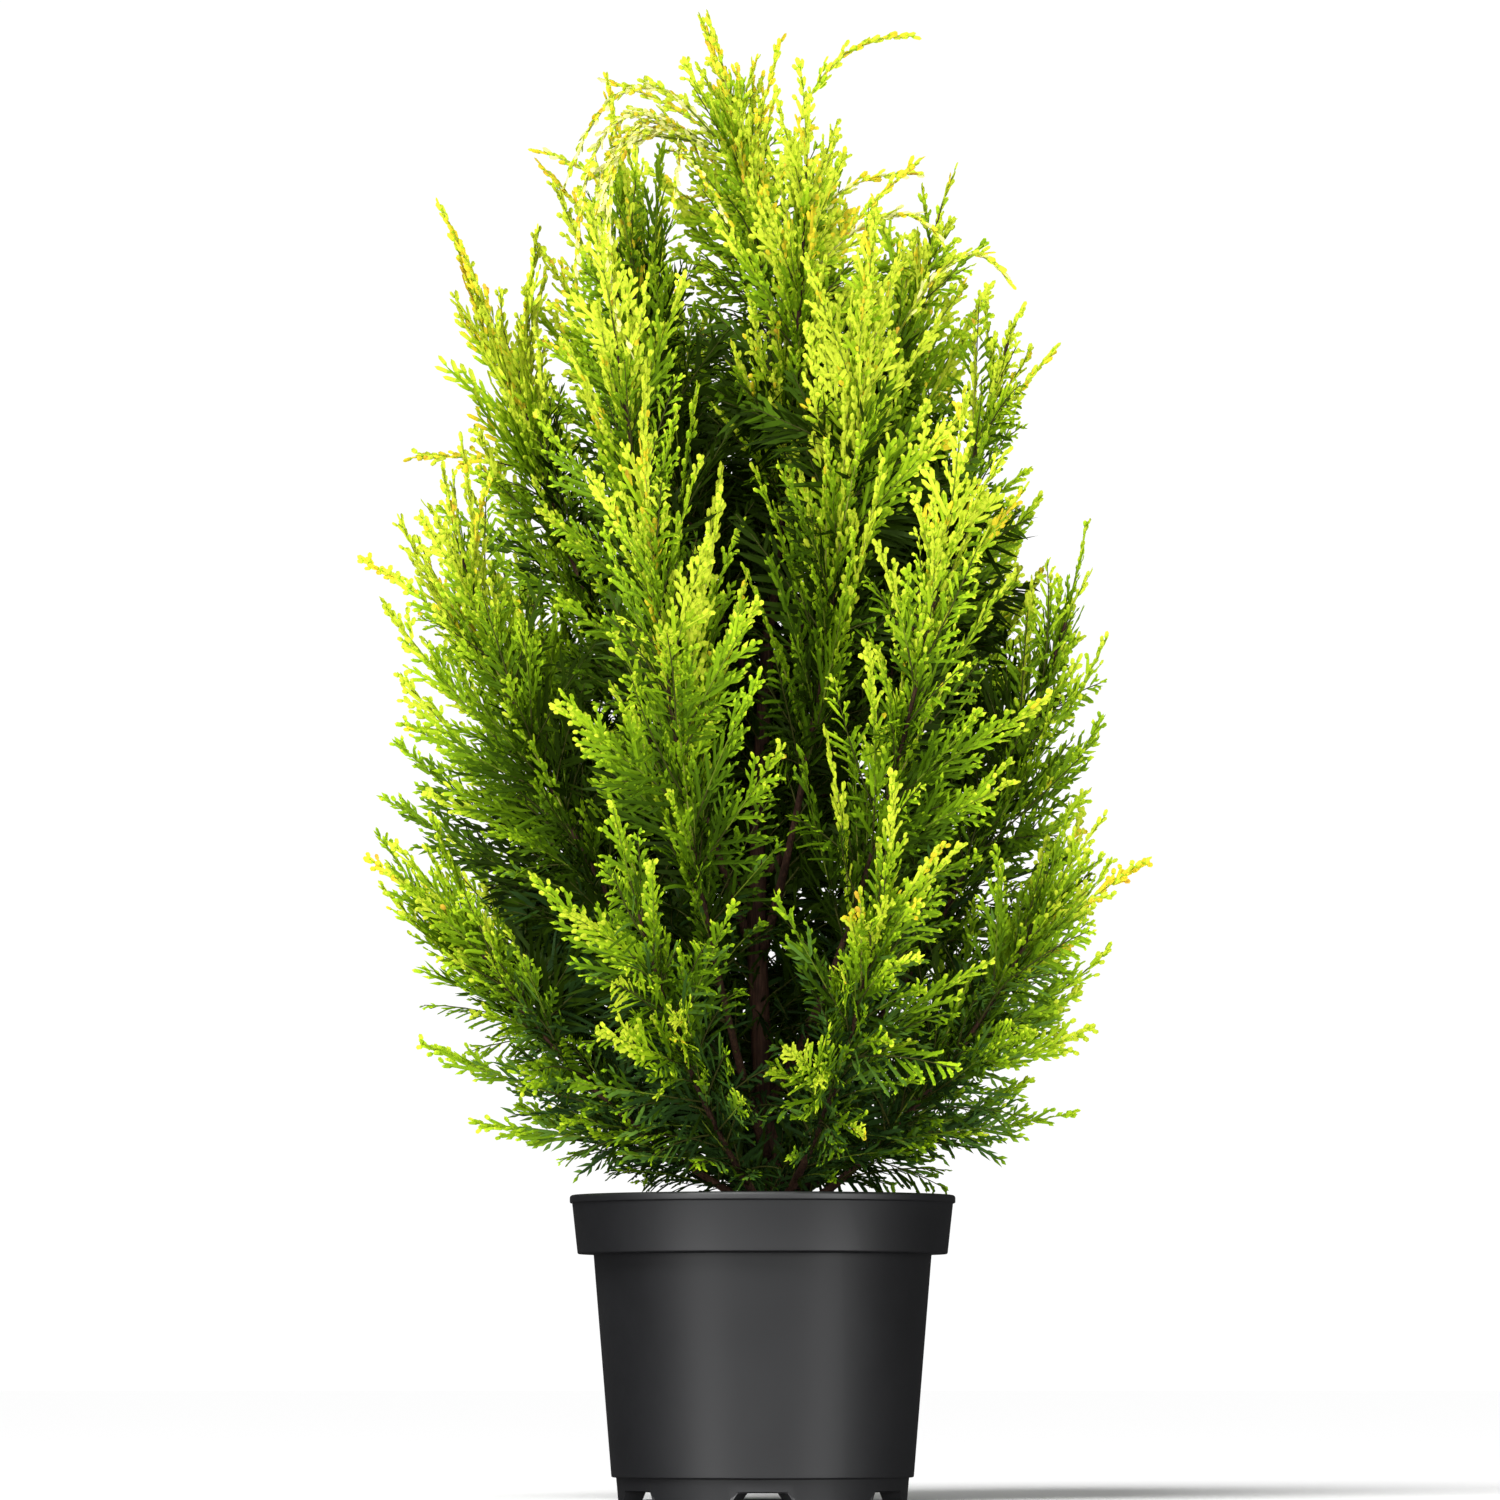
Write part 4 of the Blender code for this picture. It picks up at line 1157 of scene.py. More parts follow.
TEETH = Rule(3.1 * MM, (0.04, 0.99), (50, 30), tooth_length, 16, 0.10, 0.24, ragged=7)
FRINGE = Rule(3.4 * MM, (0.30, 0.96), (38, 30), short((2.6 * MM, 5.0 * MM), 1.15, 0.6), 14, 0.1, 0.24)
CORE_TEETH = Rule(2.2 * MM, (0.04, 0.99), (50, 30), core_length, 32, 0.30, 0.10, ragged=14)
ROPE_SIDES = Rule(7.0 * MM, (0.12, 0.94), (30, 20), rope_length, 25, 0.25, 0.20)
ROPE_COLLARS = Rule(2.2 * MM, (0.0, 1.0), (16, 12), short((4.6 * MM, 7 * MM)), 60, 0.1, 0.2)
SIDE_ROPE_COLLARS = ROPE_COLLARS._replace(tilt=40)


# ======== from fronds to leaves
def as_shoots(fronds):
    return Shoots(**{field: np.array([getattr(frond, field) for frond in fronds]) for field in FIELDS})


def tone_at(shoots):
    """How bright shoots are where they stand: dark inside the crown, bright at its surface and at the top.
    The darkness inside is painted shade, over the inner foliage's own darker green.
    """
    across, depth, height = shoots.root.T
    open_share = np.clip(np.hypot(across, depth) / crown_radius(height), 0, 1.1)
    top = np.clip((height - TOP_FROM) / TOP_SPAN, 0, 1)
    low = np.clip((LOW_BELOW - height) / LOW_SPAN, 0, 1)
    # painted shade: the tone falls towards the crown's axis
    bright = mix(OPEN_BRIGHTNESS * open_share**OPEN_POWER, TOP_BRIGHTNESS, top)
    return shoots.tone + bright - LOW_DULLNESS * low


def tint_of(shoots, chance):
    """Slot numbers from how bright, how blue, how golden and how pale the shoots are."""
    size = len(shoots)
    level = ((tone_at(shoots) + chance.normal(0, TINT_SCATTER, size)) * WARM_CLASSES).astype(int)
    tint = np.clip(level, 0, WARM_CLASSES - 1)
    blue = (shoots.cool > chance.uniform(0, 1, size)) & (level < 3)
    tint = np.where(blue, COOL_CLASSES + np.clip(level, 0, 2), tint)
    golden = (level >= WARM_CLASSES - 1) & (shoots.gild > chance.uniform(0, 1, size))
    tint = np.where(golden, GOLD_CLASS, tint)
    tint = np.where(golden & (chance.uniform(0, 1, size) < AMBER_SHARE), AMBER_CLASS, tint)
    return np.where(shoots.pale > chance.uniform(0, 1, size), STRAW_CLASS, tint)


def shoot_shapes(shoots, chance):
    """The brighter a shoot is, the more faces it gets: one triangle at least, a rounded leaf at most."""
    tints = tint_of(shoots, chance)
    level = np.searchsorted(SHAPES_FROM, tone_at(shoots))
    parts = []
    for step, shape in enumerate((spikes, kites, folded_leaves, rounded_leaves)):
        chosen = level == step
        if chosen.any():
            parts.append(shape(shoots.where(chosen), tints[chosen]))
    return parts


def gilded(shoots, chance):
    """Of some branchlets, those whose shoots are all golden, as ones and noughts."""
    return (shoots.gild > chance.uniform(0, 1, len(shoots))).astype(float)


def full_sprays(fronds, chance):
    """Branchlets and plump shoots, with short ones round the midrib."""
    midribs = as_shoots(fronds)
    branchlets = midribs.side_shoots(chance, BRANCHLETS)
    branchlets = branchlets.where(chance.uniform(0, 1, len(branchlets)) < BRANCHLETS_KEPT)
    branchlets.gild = gilded(branchlets, chance)
    branchlets.width = BRANCHLET_WIDTH * chance.uniform(*WIDTH_SCATTER, len(branchlets))
    shoots = branchlets.side_shoots(chance, LEAFY_SHOOTS)
    collars = midribs.side_shoots(chance, COLLARS)
    for side in (shoots, collars):
        bright = np.clip(tone_at(side), 0, 1)
        side.width = mix(*SHOOT_WIDTHS, bright) * chance.uniform(*WIDTH_SCATTER, len(side))
    axis = blades(branchlets, (0, 0.15, 0.85, 1), (0, 1.0, 0.8, 0), tint_of(branchlets, chance))
    return [axis, *shoot_shapes(shoots, chance), *shoot_shapes(collars, chance)]


def combed_sprays(fronds, chance):
    """Long thin branchlets, side by side like fingers, each with its fringe."""
    teeth = as_shoots(fronds).side_shoots(chance, TEETH)
    teeth.width = COMB_WIDTH * chance.uniform(0.75, 1.15, len(teeth))
    teeth.lean[:, 2] -= COMB_SAG * chance.uniform(*SAG_SCATTER, len(teeth))
    fringe = teeth.side_shoots(chance, FRINGE)
    fringe.width = FRINGE_WIDTH * chance.uniform(0.8, 1.2, len(fringe))
    tints = tint_of(teeth, chance)
    foot, tip = graded(tints)
    rows = np.stack([foot] * 2 + [tints] * 8 + [tip] * 2, axis=1)
    axis = blades(teeth, (0, 0.30, 0.65, 0.93, 1), (0, 0.85, 1.0, 0.85, 0), rows)
    return [axis, *shoot_shapes(fringe, chance)]


def core_sprays(fronds, chance):
    """Broad plain branchlets, which close the crown's dark inside."""
    teeth = as_shoots(fronds).side_shoots(chance, CORE_TEETH)
    teeth.width = CORE_WIDTH * chance.uniform(0.5, 1.3, len(teeth))
    teeth.lean[:, 2] -= COMB_SAG * chance.uniform(*SAG_SCATTER, len(teeth))
    return [ribbons(teeth, (0, 0.33, 0.7, 1), (0.8, 1.0, 0.8, 0), tint_of(teeth, chance))]


def roped_sprays(fronds, chance):
    """Long shoots hugged by short ones, with smaller ropes at their sides."""
    midribs = as_shoots(fronds)
    sides = midribs.side_shoots(chance, ROPE_SIDES)
    sides.width = np.full(len(sides), ROPE_SIDE_WIDTH)
    sides.gild = gilded(sides, chance)
    parts = [blades(sides, (0, 0.2, 0.9, 1), (0, 1.0, 0.8, 0), tint_of(sides, chance))]
    for parents, rule in ((midribs, ROPE_COLLARS), (sides, SIDE_ROPE_COLLARS)):
        collars = parents.side_shoots(chance, rule)
        collars.width = ROPE_SHOOT_WIDTH * chance.uniform(*WIDTH_SCATTER, len(collars))
        parts.append(rounded_leaves(collars, tint_of(collars, chance)))
    return parts


KINDS = (("full", full_sprays), ("comb", combed_sprays), ("core", core_sprays), ("rope", roped_sprays))


def grow(fronds, seed):
    """The leafy parts and the midribs of some fronds, as arrays."""
    chance = np.random.default_rng(seed)
    colours = np.repeat([TWIG_COLOURS[frond.kind] for frond in fronds], 2 * TWIG_SIDES, axis=1)
    shares = np.linspace(0, 1, TWIG_STEPS + 1)
    twigs = rods(as_shoots(fronds), shares, np.linspace(1, TWIG_TIP, TWIG_STEPS + 1), colours)
    parts = []
    for kind, sprays in KINDS:
        chosen = [frond for frond in fronds if frond.kind == kind]
        if chosen:
            parts += sprays(chosen, chance)
    return stacked(parts), twigs


def fronds_of(plume, own, others):
    """All fronds of one plume. Only those that fill a place in are kept apart from the other plumes."""
    fronds = [within_sides(frond) for frond in (*cad_fronds(plume), *filling_fronds(plume, own, others))]
    for kind in (long_shoots, extra_fronds, column_shoots, front_ropes, stem_fronds, rim_fronds):
        fronds += kind(plume)
    return [*fronds, *shade_fronds(plume, own, others), *core_fronds(plume, own, others)]


def build_foliage(plumes, leaf_materials, twig_materials):
    chance = random.Random(SEEDS["colour"])
    axes = {plume.name: plume.samples() for plume in plumes}
    closing = closing_fans(plumes)
    for plume in plumes:
        others = np.concatenate([axis for name, axis in axes.items() if name != plume.name])
        fronds = fronds_of(plume, axes[plume.name], others) + closing[plume.name]
        if plume.name == "leader":
            fronds += [*trunk_fronds(), *nodding_shoots()]
        for frond in fronds:
            colour_frond(frond, plume, chance)
        leaves, twigs = grow(fronds, plume.seed)
        node = f"foliage_{plume.name}"
        dressed(joined_mesh(f"leaves_{plume.name}", *leaves, leaf_materials), LEAF_SLOTS[plume.tier], node)
        dressed(joined_mesh(f"twigs_{plume.name}", *twigs, twig_materials), "bark", node)


# ======== bark
def bark_tube(path, radii, sides, seed, relief=0.10):
    """A limb with the stringy relief of its bark: rings along a path, closed at both ends."""
    chance = np.random.default_rng(seed)
    path = np.array(path)
    ahead = unit(np.gradient(path, axis=0))
    side = unit(np.cross(ahead, (0.31, 0.95, 0.1)))
    above = np.cross(ahead, side)
    angle = np.arange(sides) * TAU / sides
    along = np.concatenate([[0], np.cumsum(np.linalg.norm(np.diff(path, axis=0), axis=1))])[:, None]
    strings = np.zeros((len(path), sides))
    for waves in (2, 3, 5, 7, 9, 11):
        drift = chance.uniform(-40, 40) * along
        drift = drift + np.sin(along * chance.uniform(60, 160) + chance.uniform(0, TAU)) * 1.2
        strings += np.sin(waves * angle + drift + chance.uniform(0, TAU)) / waves**0.5
    strings += chance.normal(0, 0.35, strings.shape)
    radius = np.asarray(radii)[:, None] * (1 + relief * strings / 2)
    cosine, sine = np.cos(angle)[None, :, None], np.sin(angle)[None, :, None]
    spokes = side[:, None, :] * cosine + above[:, None, :] * sine
    points = (path[:, None, :] + spokes * radius[..., None]).reshape(-1, 3)
    faces = tube_faces(len(path), sides)
    first, last = len(points), len(points) + 1
    for corner in range(sides):
        after = (corner + 1) % sides
        faces += [(first, after, corner), (last, first - sides + corner, first - sides + after)]
    return np.concatenate([points, path[:1], path[-1:]]), np.array(faces), np.zeros(len(faces), int)


def evenly(steps):
    """Shares from 0 to 1."""
    return [step / steps for step in range(steps + 1)]


def limb_radius(plume, share):
    if share < plume.leafy_from:
        return mix(plume.bough_radius, BOUGH_TIP_RADIUS, share / plume.leafy_from)
    return mix(BOUGH_TIP_RADIUS, STEM_TIP_RADIUS, (share - plume.leafy_from) / (1 - plume.leafy_from))


def limb_bark(plume):
    """A bough and its stem. Its foot runs a little into the trunk's bark."""
    shares = evenly(LIMB_STEPS)
    path = [bezier(*plume.limb, share) for share in shares]
    path[0] -= (path[1] - path[0]).normalized() * GAP * 4
    return bark_tube(path, [limb_radius(plume, share) for share in shares], LIMB_SIDES, plume.seed)


def build_limbs(plumes, bark):
    heights = [mix(TRUNK_FOOT, TRUNK_TOP, share) for share in evenly(TRUNK_STEPS)]
    radii = [trunk_radius(height) for height in heights]
    trunk = bark_tube([trunk_point(height) for height in heights], radii, TRUNK_SIDES, seed=1)
    shares = evenly(LEADER_STEPS)
    radii = [mix(*LEADER_RADII, share) for share in shares]
    stem = bark_tube([plumes[-1].point(share) for share in shares], radii, LEADER_SIDES, seed=2, relief=0.04)
    dressed(joined_mesh("trunk_bark", *stacked([trunk, stem]), [bark]), "bark", "trunk")
    for tier, *_ in TIERS:
        members = [plume for plume in plumes if plume.tier == tier]
        made = joined_mesh(f"limbs_{tier}", *stacked([limb_bark(plume) for plume in members]), [bark])
        dressed(made, "bark", *[f"bough_{plume.name}" for plume in members])


# ======== pot and compost
def arc(radius, height, bend, first, last, steps=6):
    """Points of a profile along an arc round a centre: 0 degrees points outwards and 90 up."""
    angles = [math.radians(mix(first, last, share)) for share in evenly(steps)]
    return [(radius + bend * math.cos(angle), height + bend * math.sin(angle)) for angle in angles]


def pot_profile():
    """Round the wall of the pot: down the inner side, over the floor, and up again outside."""
    band_foot = POT_HEIGHT - BAND_HEIGHT
    step = band_foot + WALL
    lip_foot = POT_HEIGHT - LIP_HEIGHT
    ground_inside = FOOT_GROUND_RADIUS - FOOT_WIDTH
    inner = [
        (0, FLOOR_HEIGHT + WALL),
        *arc(FOOT_GROUND_RADIUS - WALL - 2 * MM, FLOOR_HEIGHT + WALL + 2 * MM, 2 * MM, -90, 0),
        (BODY_FOOT_RADIUS - WALL, FOOT_HEIGHT + WALL),
        *arc(SHOULDER_RADIUS - WALL + 1 * MM, step - 1 * MM, 1 * MM, 180, 90),
        *arc(BAND_FOOT_RADIUS - WALL - 1.2 * MM, step + 1.2 * MM, 1.2 * MM, -90, 0),
        *arc(RIM_RADIUS - 2.1 * MM, POT_HEIGHT - 0.9 * MM, 0.9 * MM, 180, 90),
    ]
    outer = [
        *arc(RIM_RADIUS - 1.5 * MM, POT_HEIGHT - 1.5 * MM, 1.5 * MM, 90, 0, 8),
        *arc(RIM_RADIUS - 0.7 * MM, lip_foot + 0.7 * MM, 0.7 * MM, 0, -90),
        *arc(RIM_RADIUS - LIP_OVERHANG + 0.3 * MM, lip_foot - 0.3 * MM, 0.3 * MM, 90, 180, 3),
        *arc(BAND_FOOT_RADIUS - 0.9 * MM, band_foot + 0.9 * MM, 0.9 * MM, 0, -90),
        *arc(SHOULDER_RADIUS + 0.5 * MM, band_foot - 0.5 * MM, 0.5 * MM, 90, 180, 3),
        *arc(BODY_FOOT_RADIUS - 0.8 * MM, FOOT_HEIGHT + 0.8 * MM, 0.8 * MM, 0, -90),
        *arc(FOOT_RADIUS + 0.3 * MM, FOOT_HEIGHT - 0.3 * MM, 0.3 * MM, 90, 180, 3),
        *arc(FOOT_GROUND_RADIUS - 0.5 * MM, 0.5 * MM, 0.5 * MM, 0, -90, 4),
        *arc(ground_inside + 0.5 * MM, 0.5 * MM, 0.5 * MM, -90, -180, 4),
        (ground_inside, FLOOR_HEIGHT),
        (0, FLOOR_HEIGHT),
    ]
    return inner + outer


def turned_shape(profile, steps):
    """A closed solid of revolution from a profile whose two ends lie on the axis."""
    shape = bmesh.new()
    corners = [shape.verts.new((radius, 0, height)) for radius, height in profile]
    edges = [shape.edges.new(pair) for pair in zip(corners, corners[1:])]
    bmesh.ops.spin(shape, geom=corners + edges, cent=(0, 0, 0), axis=(0, 0, 1), angle=TAU, steps=steps)
    bmesh.ops.remove_doubles(shape, verts=shape.verts, dist=0.01 * MM)
    bmesh.ops.recalc_face_normals(shape, faces=shape.faces)
    return shape


def shape_object(name, shape, surface=None, smooth=False):
    mesh = bpy.data.meshes.new(name)
    shape.normal_update()
    shape.to_mesh(mesh)
    shape.free()
    if surface:
        mesh.materials.append(surface)
    mesh.polygons.foreach_set("use_smooth", [smooth] * len(mesh.polygons))
    return new_object(name, mesh)


def opening(shape, direction, radius, widths, lowest_z=-0.5 * MM):
    """The corners of a notch at a distance from the axis: foot left, top left, top right and foot right."""
    half_top, half_foot = (width / 2 for width in widths)
    across = direction.cross(UP)
    centre = direction * radius
    left = [(-half_foot, lowest_z), (-half_top, NOTCH_DEPTH)]
    right = [(half_top, NOTCH_DEPTH), (half_foot, lowest_z)]
    return [shape.verts.new(centre + across * half + UP * height) for half, height in left + right]


def walled(shape, outer, inner, sides):
    """Faces between the corners of two openings, on the first few sides."""
    for index in range(sides):
        after = (index + 1) % 4
        shape.faces.new((outer[index], outer[after], inner[after], inner[index]))


def notch_directions():
    return [heading(360 * index / NOTCH_COUNT) for index in range(NOTCH_COUNT)]


def notch_cutter(direction):
    """A wedge through the foot ring, as wide as the notch's outer opening."""
    shape = bmesh.new()
    radii = (FOOT_GROUND_RADIUS - FOOT_WIDTH - 2 * MM, FOOT_RADIUS + 4 * MM)
    ends = [opening(shape, direction, radius, NOTCH_OUTER) for radius in radii]
    for end in ends:
        shape.faces.new(end)
    walled(shape, *ends, sides=4)
    bmesh.ops.recalc_face_normals(shape, faces=shape.faces)
    return shape


def notch_channels():
    """The drafted walls that lead in from each notch's outer opening to its narrower inner one."""
    shape = bmesh.new()
    outer_radius = math.cos(math.radians(9)) * (FOOT_GROUND_RADIUS - 0.3 * MM)
    for direction in notch_directions():
        outer = opening(shape, direction, outer_radius, NOTCH_OUTER, lowest_z=0)
        inner = opening(shape, direction, FOOT_GROUND_RADIUS - NOTCH_CHANNEL, NOTCH_INNER, lowest_z=0)
        walled(shape, outer, inner, sides=3)
    bmesh.ops.recalc_face_normals(shape, faces=shape.faces)
    return shape


def drain_cutter(index):
    shape = bmesh.new()
    size = {"radius1": DRAIN_RADIUS, "radius2": DRAIN_RADIUS, "depth": 6 * WALL}
    bmesh.ops.create_cone(shape, cap_ends=True, segments=32, **size)
    centre = heading(360 * (index + 0.5) / DRAIN_COUNT) * DRAIN_RING_RADIUS + UP * (FLOOR_HEIGHT + WALL / 2)
    bmesh.ops.translate(shape, verts=shape.verts, vec=centre)
    return shape


def build_pot(plastic):
    pot = shape_object("pot_shell", turned_shape(pot_profile(), POT_STEPS), plastic, smooth=True)
    cutters = bpy.data.collections.new("pot_cutters")
    shapes = [notch_cutter(direction) for direction in notch_directions()]
    shapes += [drain_cutter(index) for index in range(DRAIN_COUNT)]
    for index, shape in enumerate(shapes):
        cutter = shape_object(f"pot_cutter_{index}", shape)
        bpy.context.scene.collection.objects.unlink(cutter)
        cutters.objects.link(cutter)
    apply_boolean(pot, cutters)
    shade_by_angle(pot)
    dressed(pot, "pot", "pot")

    channels = shape_object("pot_notch_channels", notch_channels(), plastic)
    thicken = channels.modifiers.new("Wall", "SOLIDIFY")
    thicken.thickness = WALL
    thicken.offset = 0
    dressed(channels, "pot", "pot")


def apply_boolean(target, cutters):
    cut = target.modifiers.new("Cut", "BOOLEAN")
    cut.operation = "DIFFERENCE"
    cut.operand_type = "COLLECTION"
    cut.collection = cutters
    cut.solver = "EXACT"
    graph = bpy.context.evaluated_depsgraph_get()
    done = bpy.data.meshes.new_from_object(target.evaluated_get(graph))
    target.modifiers.clear()
    target.data = done
    for cutter in list(cutters.objects):
        bpy.data.objects.remove(cutter)
    bpy.data.collections.remove(cutters)


def shade_by_angle(target, degrees=35):
    """Sharp edges stay sharp, and the rest is smooth."""
    mesh = target.data
    mesh.polygons.foreach_set("use_smooth", [True] * len(mesh.polygons))
    mesh.set_sharp_from_angle(angle=math.radians(degrees))


def build_compost(soil):
    """The lumpy surface of the compost over its filling, with crumbs and bits of bark strewn on it."""
    band_foot = POT_HEIGHT - BAND_HEIGHT
    wall = BAND_FOOT_RADIUS - WALL + (COMPOST_TOP - band_foot) * 0.07
    edge = wall - GAP * 2

    def fall(radius):
        return COMPOST_CROWN * clamped((radius - COMPOST_CROWN_RADIUS) / (wall - COMPOST_CROWN_RADIUS))

    profile = [
        (0, FLOOR_HEIGHT + WALL + GAP),
        (FOOT_GROUND_RADIUS - WALL - 3 * MM, FLOOR_HEIGHT + WALL + GAP),
        (SHOULDER_RADIUS - WALL - 1 * MM, band_foot),
        (edge, COMPOST_TOP - COMPOST_CROWN),
        *((mix(edge, 0, share), COMPOST_TOP) for share in evenly(COMPOST_RINGS)[1:]),
    ]
    shape = turned_shape(profile, COMPOST_STEPS)
    seed_set(SEEDS["lumps"])  # or the clock seeds the noise, and the lumps differ from run to run
    for corner in shape.verts:
        if corner.co.z > COMPOST_TOP - COMPOST_CROWN - GAP:
            lumps = turbulence(corner.co * 90, 3) * 2.2 * MM + turbulence(corner.co * 420, 2) * 1.1 * MM
            corner.co.z = COMPOST_TOP - fall(off_axis(corner.co)) - 1.6 * MM + lumps
    dressed(shape_object("compost_fill", shape, soil, smooth=True), "compost", "compost")

    chance = np.random.default_rng(SEEDS["crumbs"])
    crumbs = bmesh.new()
    for _ in range(CRUMBS):
        angle, radius = chance.uniform(0, TAU), (wall - 4 * MM) * chance.uniform(0.02, 1) ** 0.5
        size = chance.uniform(*CRUMB_SIZES) * MM
        grown = bmesh.ops.create_icosphere(crumbs, subdivisions=1, radius=size)["verts"]
        stretch = Vector(chance.uniform(0.5, 1.5, 3))
        turn = Quaternion(Vector(chance.normal(0, 1, 3)).normalized(), chance.uniform(0, TAU))
        centre = Vector((radius * math.cos(angle), radius * math.sin(angle), COMPOST_TOP - 1.0 * MM))
        centre.z -= fall(radius)
        for corner in grown:
            knobbly = corner.co * chance.uniform(0.75, 1.2)
            corner.co = centre + turn @ Vector(a * b for a, b in zip(knobbly, stretch))
    dressed(shape_object("compost_crumbs", crumbs, soil), "compost", "compost")


# ======== materials
def principled(name, colour, roughness, specular):
    made = bpy.data.materials.new(name)
    made.use_nodes = True
    shader = made.node_tree.nodes["Principled BSDF"]
    shader.inputs["Base Color"].default_value = (*colour, 1)
    shader.inputs["Roughness"].default_value = roughness
    shader.inputs["Specular IOR Level"].default_value = specular
    return made


def fed(tree, output, socket):
    """The shader takes this output at its socket."""
    tree.links.new(output, tree.nodes["Principled BSDF"].inputs[socket])


def add_node(tree, kind, output, inputs):
    """A new node's output, with its inputs set to values or linked to other outputs."""
    node = tree.nodes.new(f"ShaderNode{kind}")
    for socket, value in inputs.items():
        if isinstance(value, bpy.types.NodeSocket):
            tree.links.new(value, node.inputs[socket])
        else:
            node.inputs[socket].default_value = value
    return node.outputs[output]


def noise(tree, stretch, scale, detail, roughness=0.6):
    """Noise over the object's own coordinates, stretched."""
    coordinates = add_node(tree, "TexCoord", "Object", {})
    place = add_node(tree, "Mapping", "Vector", {"Vector": coordinates, "Scale": stretch})
    inputs = {"Vector": place, "Scale": scale, "Detail": detail, "Roughness": roughness}
    return add_node(tree, "TexNoise", "Fac", inputs)


def ramp(tree, factor, stops):
    colour = add_node(tree, "ValToRGB", "Color", {"Fac": factor})
    elements = colour.node.color_ramp.elements
    while len(elements) < len(stops):
        elements.new(0.5)
    for element, (position, shade) in zip(elements, stops):
        element.position = position
        element.color = (*shade, 1)
    return colour


def spread_over(tree, factor, low, high):
    return add_node(tree, "MapRange", "Result", {"Value": factor, "To Min": low, "To Max": high})


def multiplied_and_added(tree, factor, times, added):
    result = add_node(tree, "Math", "Value", {0: factor, 1: times, 2: added})
    result.node.operation = "MULTIPLY_ADD"
    return result


def bump(tree, height, strength, distance):
    inputs = {"Height": height, "Strength": strength, "Distance": distance}
    fed(tree, add_node(tree, "Bump", "Normal", inputs), "Normal")


def bark_material():
    made = principled("bark_strings", (0.1, 0.05, 0.03), 0.85, 0.25)
    tree = made.node_tree
    strings = noise(tree, (1, 1, 0.09), 900, 5)
    patches = noise(tree, (1, 1, 0.5), 70, 3)
    mixed = multiplied_and_added(tree, strings, 0.6, spread_over(tree, patches, 0.0, 0.4))
    stops = (
        (0.30, (0.012, 0.006, 0.004)),
        (0.46, (0.036, 0.016, 0.009)),
        (0.60, (0.078, 0.036, 0.020)),
        (0.78, (0.19, 0.11, 0.066)),
    )
    fed(tree, ramp(tree, mixed, stops), "Base Color")
    fed(tree, spread_over(tree, strings, 0.95, 0.7), "Roughness")
    bump(tree, strings, 0.6, 0.4 * MM)
    return made


def plastic_material():
    made = principled("moulded_plastic", (0.03, 0.03, 0.032), 0.45, 1.0)
    tree = made.node_tree
    clouds = noise(tree, (1, 1, 1), 14, 4)
    drawn = noise(tree, (0.03, 0.03, 1), 2600, 3)
    grain = noise(tree, (1, 1, 1), 2200, 2)
    stops = ((0.35, (0.0038, 0.0041, 0.0056)), (0.65, (0.0053, 0.0057, 0.0075)))
    fed(tree, ramp(tree, clouds, stops), "Base Color")
    mixed = multiplied_and_added(tree, drawn, 0.35, clouds)
    fed(tree, spread_over(tree, mixed, 0.40, 0.54), "Roughness")
    bump(tree, grain, 0.08, 0.1 * MM)
    return made


def compost_material():
    made = principled("peat_compost", (0.04, 0.025, 0.015), 0.95, 0.2)
    tree = made.node_tree
    crumbs = noise(tree, (1, 1, 1), 420, 8, 0.7)
    fibres = noise(tree, (1, 0.25, 1), 900, 4)
    stops = (
        (0.32, (0.008, 0.005, 0.003)),
        (0.5, (0.035, 0.020, 0.012)),
        (0.66, (0.075, 0.045, 0.026)),
        (0.8, (0.17, 0.11, 0.065)),
    )
    fed(tree, ramp(tree, crumbs, stops), "Base Color")
    fed(tree, spread_over(tree, fibres, 0.85, 1.0), "Roughness")
    bump(tree, crumbs, 0.9, 1.2 * MM)
    return made


# ======== stage, light and camera
def facing(way):
    """The turn of a lamp or a camera that faces a way."""
    return way.to_track_quat("-Z", "Y").to_euler()


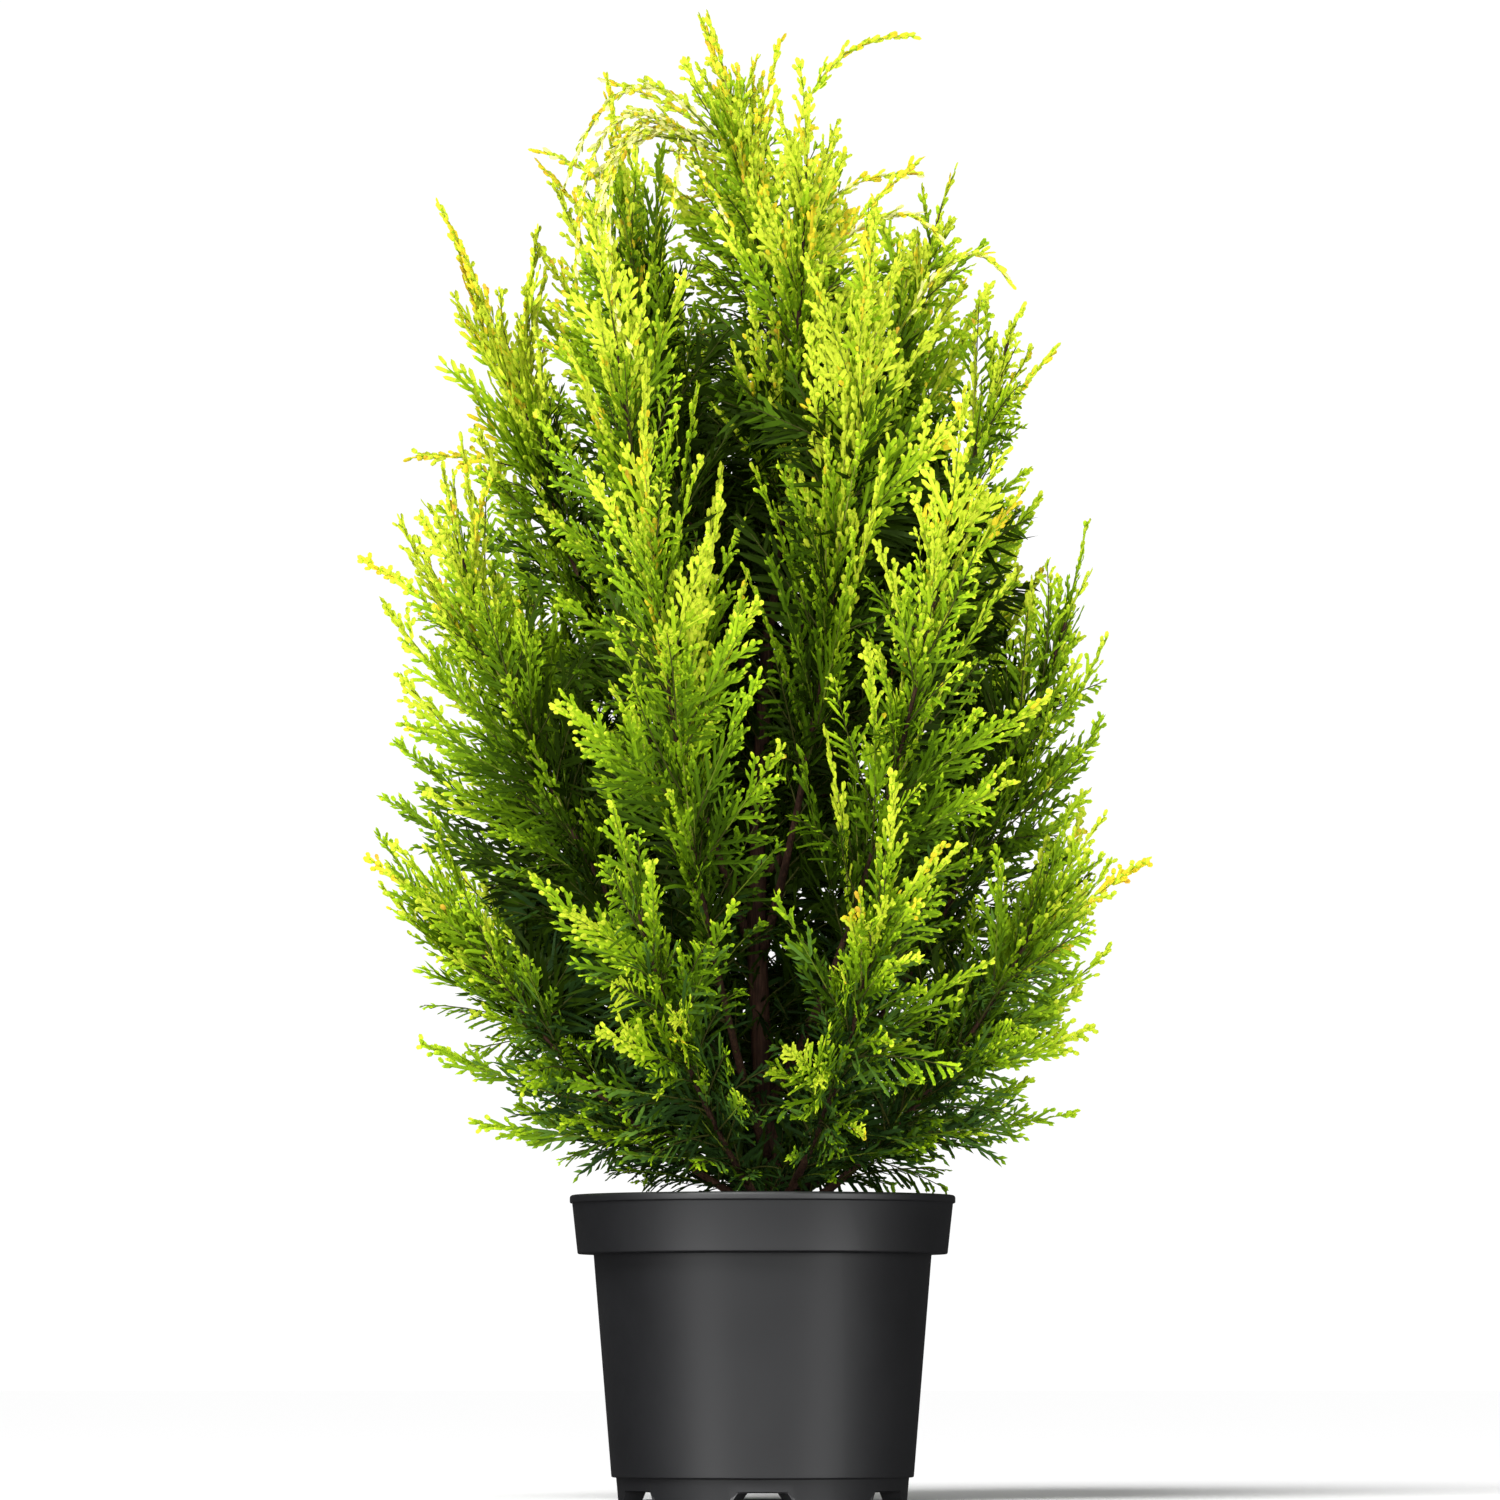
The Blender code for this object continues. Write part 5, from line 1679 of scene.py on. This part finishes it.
def area_light(name, place, size, power):
    data = bpy.data.lights.new(name, "AREA")
    data.shape = "DISK"
    data.size = size
    data.energy = power
    lamp = new_object(name, data)
    lamp.location = place
    lamp.visible_camera = False
    lamp.rotation_euler = facing(PANEL_AIM - Vector(place))


def backdrop(tree, strength):
    return add_node(tree, "Background", "Background", {"Color": (1, 1, 1, 1), "Strength": strength})


def build_world():
    """A white backdrop that lights the scene less than it shows and is dim in reflections."""
    world = bpy.data.worlds.new("studio")
    world.use_nodes = True
    tree = world.node_tree
    rays = tree.nodes.new("ShaderNodeLightPath")
    light = backdrop(tree, WORLD_REFLECTED)
    for ray, strength in (("Is Diffuse Ray", WORLD_LIGHT), ("Is Camera Ray", WORLD_SHOWN)):
        inputs = {"Fac": rays.outputs[ray], 1: light, 2: backdrop(tree, strength)}
        light = add_node(tree, "MixShader", "Shader", inputs)
    tree.links.new(light, tree.nodes["World Output"].inputs["Surface"])
    bpy.context.scene.world = world


def build_stage():
    bpy.ops.mesh.primitive_plane_add(size=40, location=(0, 0, 0))
    floor = bpy.context.object
    floor.name = "floor"
    floor.data.materials.append(principled("pale_floor", (0.97, 0.97, 0.97), 0.9, 0.05))
    floor.visible_glossy = False

    build_world()
    sun = new_object("key", bpy.data.lights.new("key", "SUN"))
    sun.data.energy = SUN_STRENGTH
    sun.data.angle = math.radians(SUN_ANGLE)
    sun.rotation_euler = facing(SUN_WAY)
    for panel in PANELS:
        area_light(*panel)
    bpy.context.scene.view_settings.view_transform = "Standard"


def build_camera():
    camera = new_object("camera", bpy.data.cameras.new("camera"))
    camera.data.lens = CAMERA_LENS
    camera.data.sensor_width = 36
    camera.location = CAMERA_PLACE
    camera.rotation_euler = facing(CAMERA_AIM - camera.location)
    bpy.context.scene.camera = camera


def main():
    plumes = build_plumes()
    leaf_materials = [principled(name, colour, 0.55, 0.07) for name, colour in LEAF_TINTS]
    twig_materials = [principled(name, colour, 0.7, 0.1) for name, colour in TWIG_TINTS]
    bark = bark_material()
    build_foliage(plumes, leaf_materials, twig_materials)
    build_limbs(plumes, bark)
    build_pot(plastic_material())
    build_compost(compost_material())
    build_stage()
    build_camera()


main()
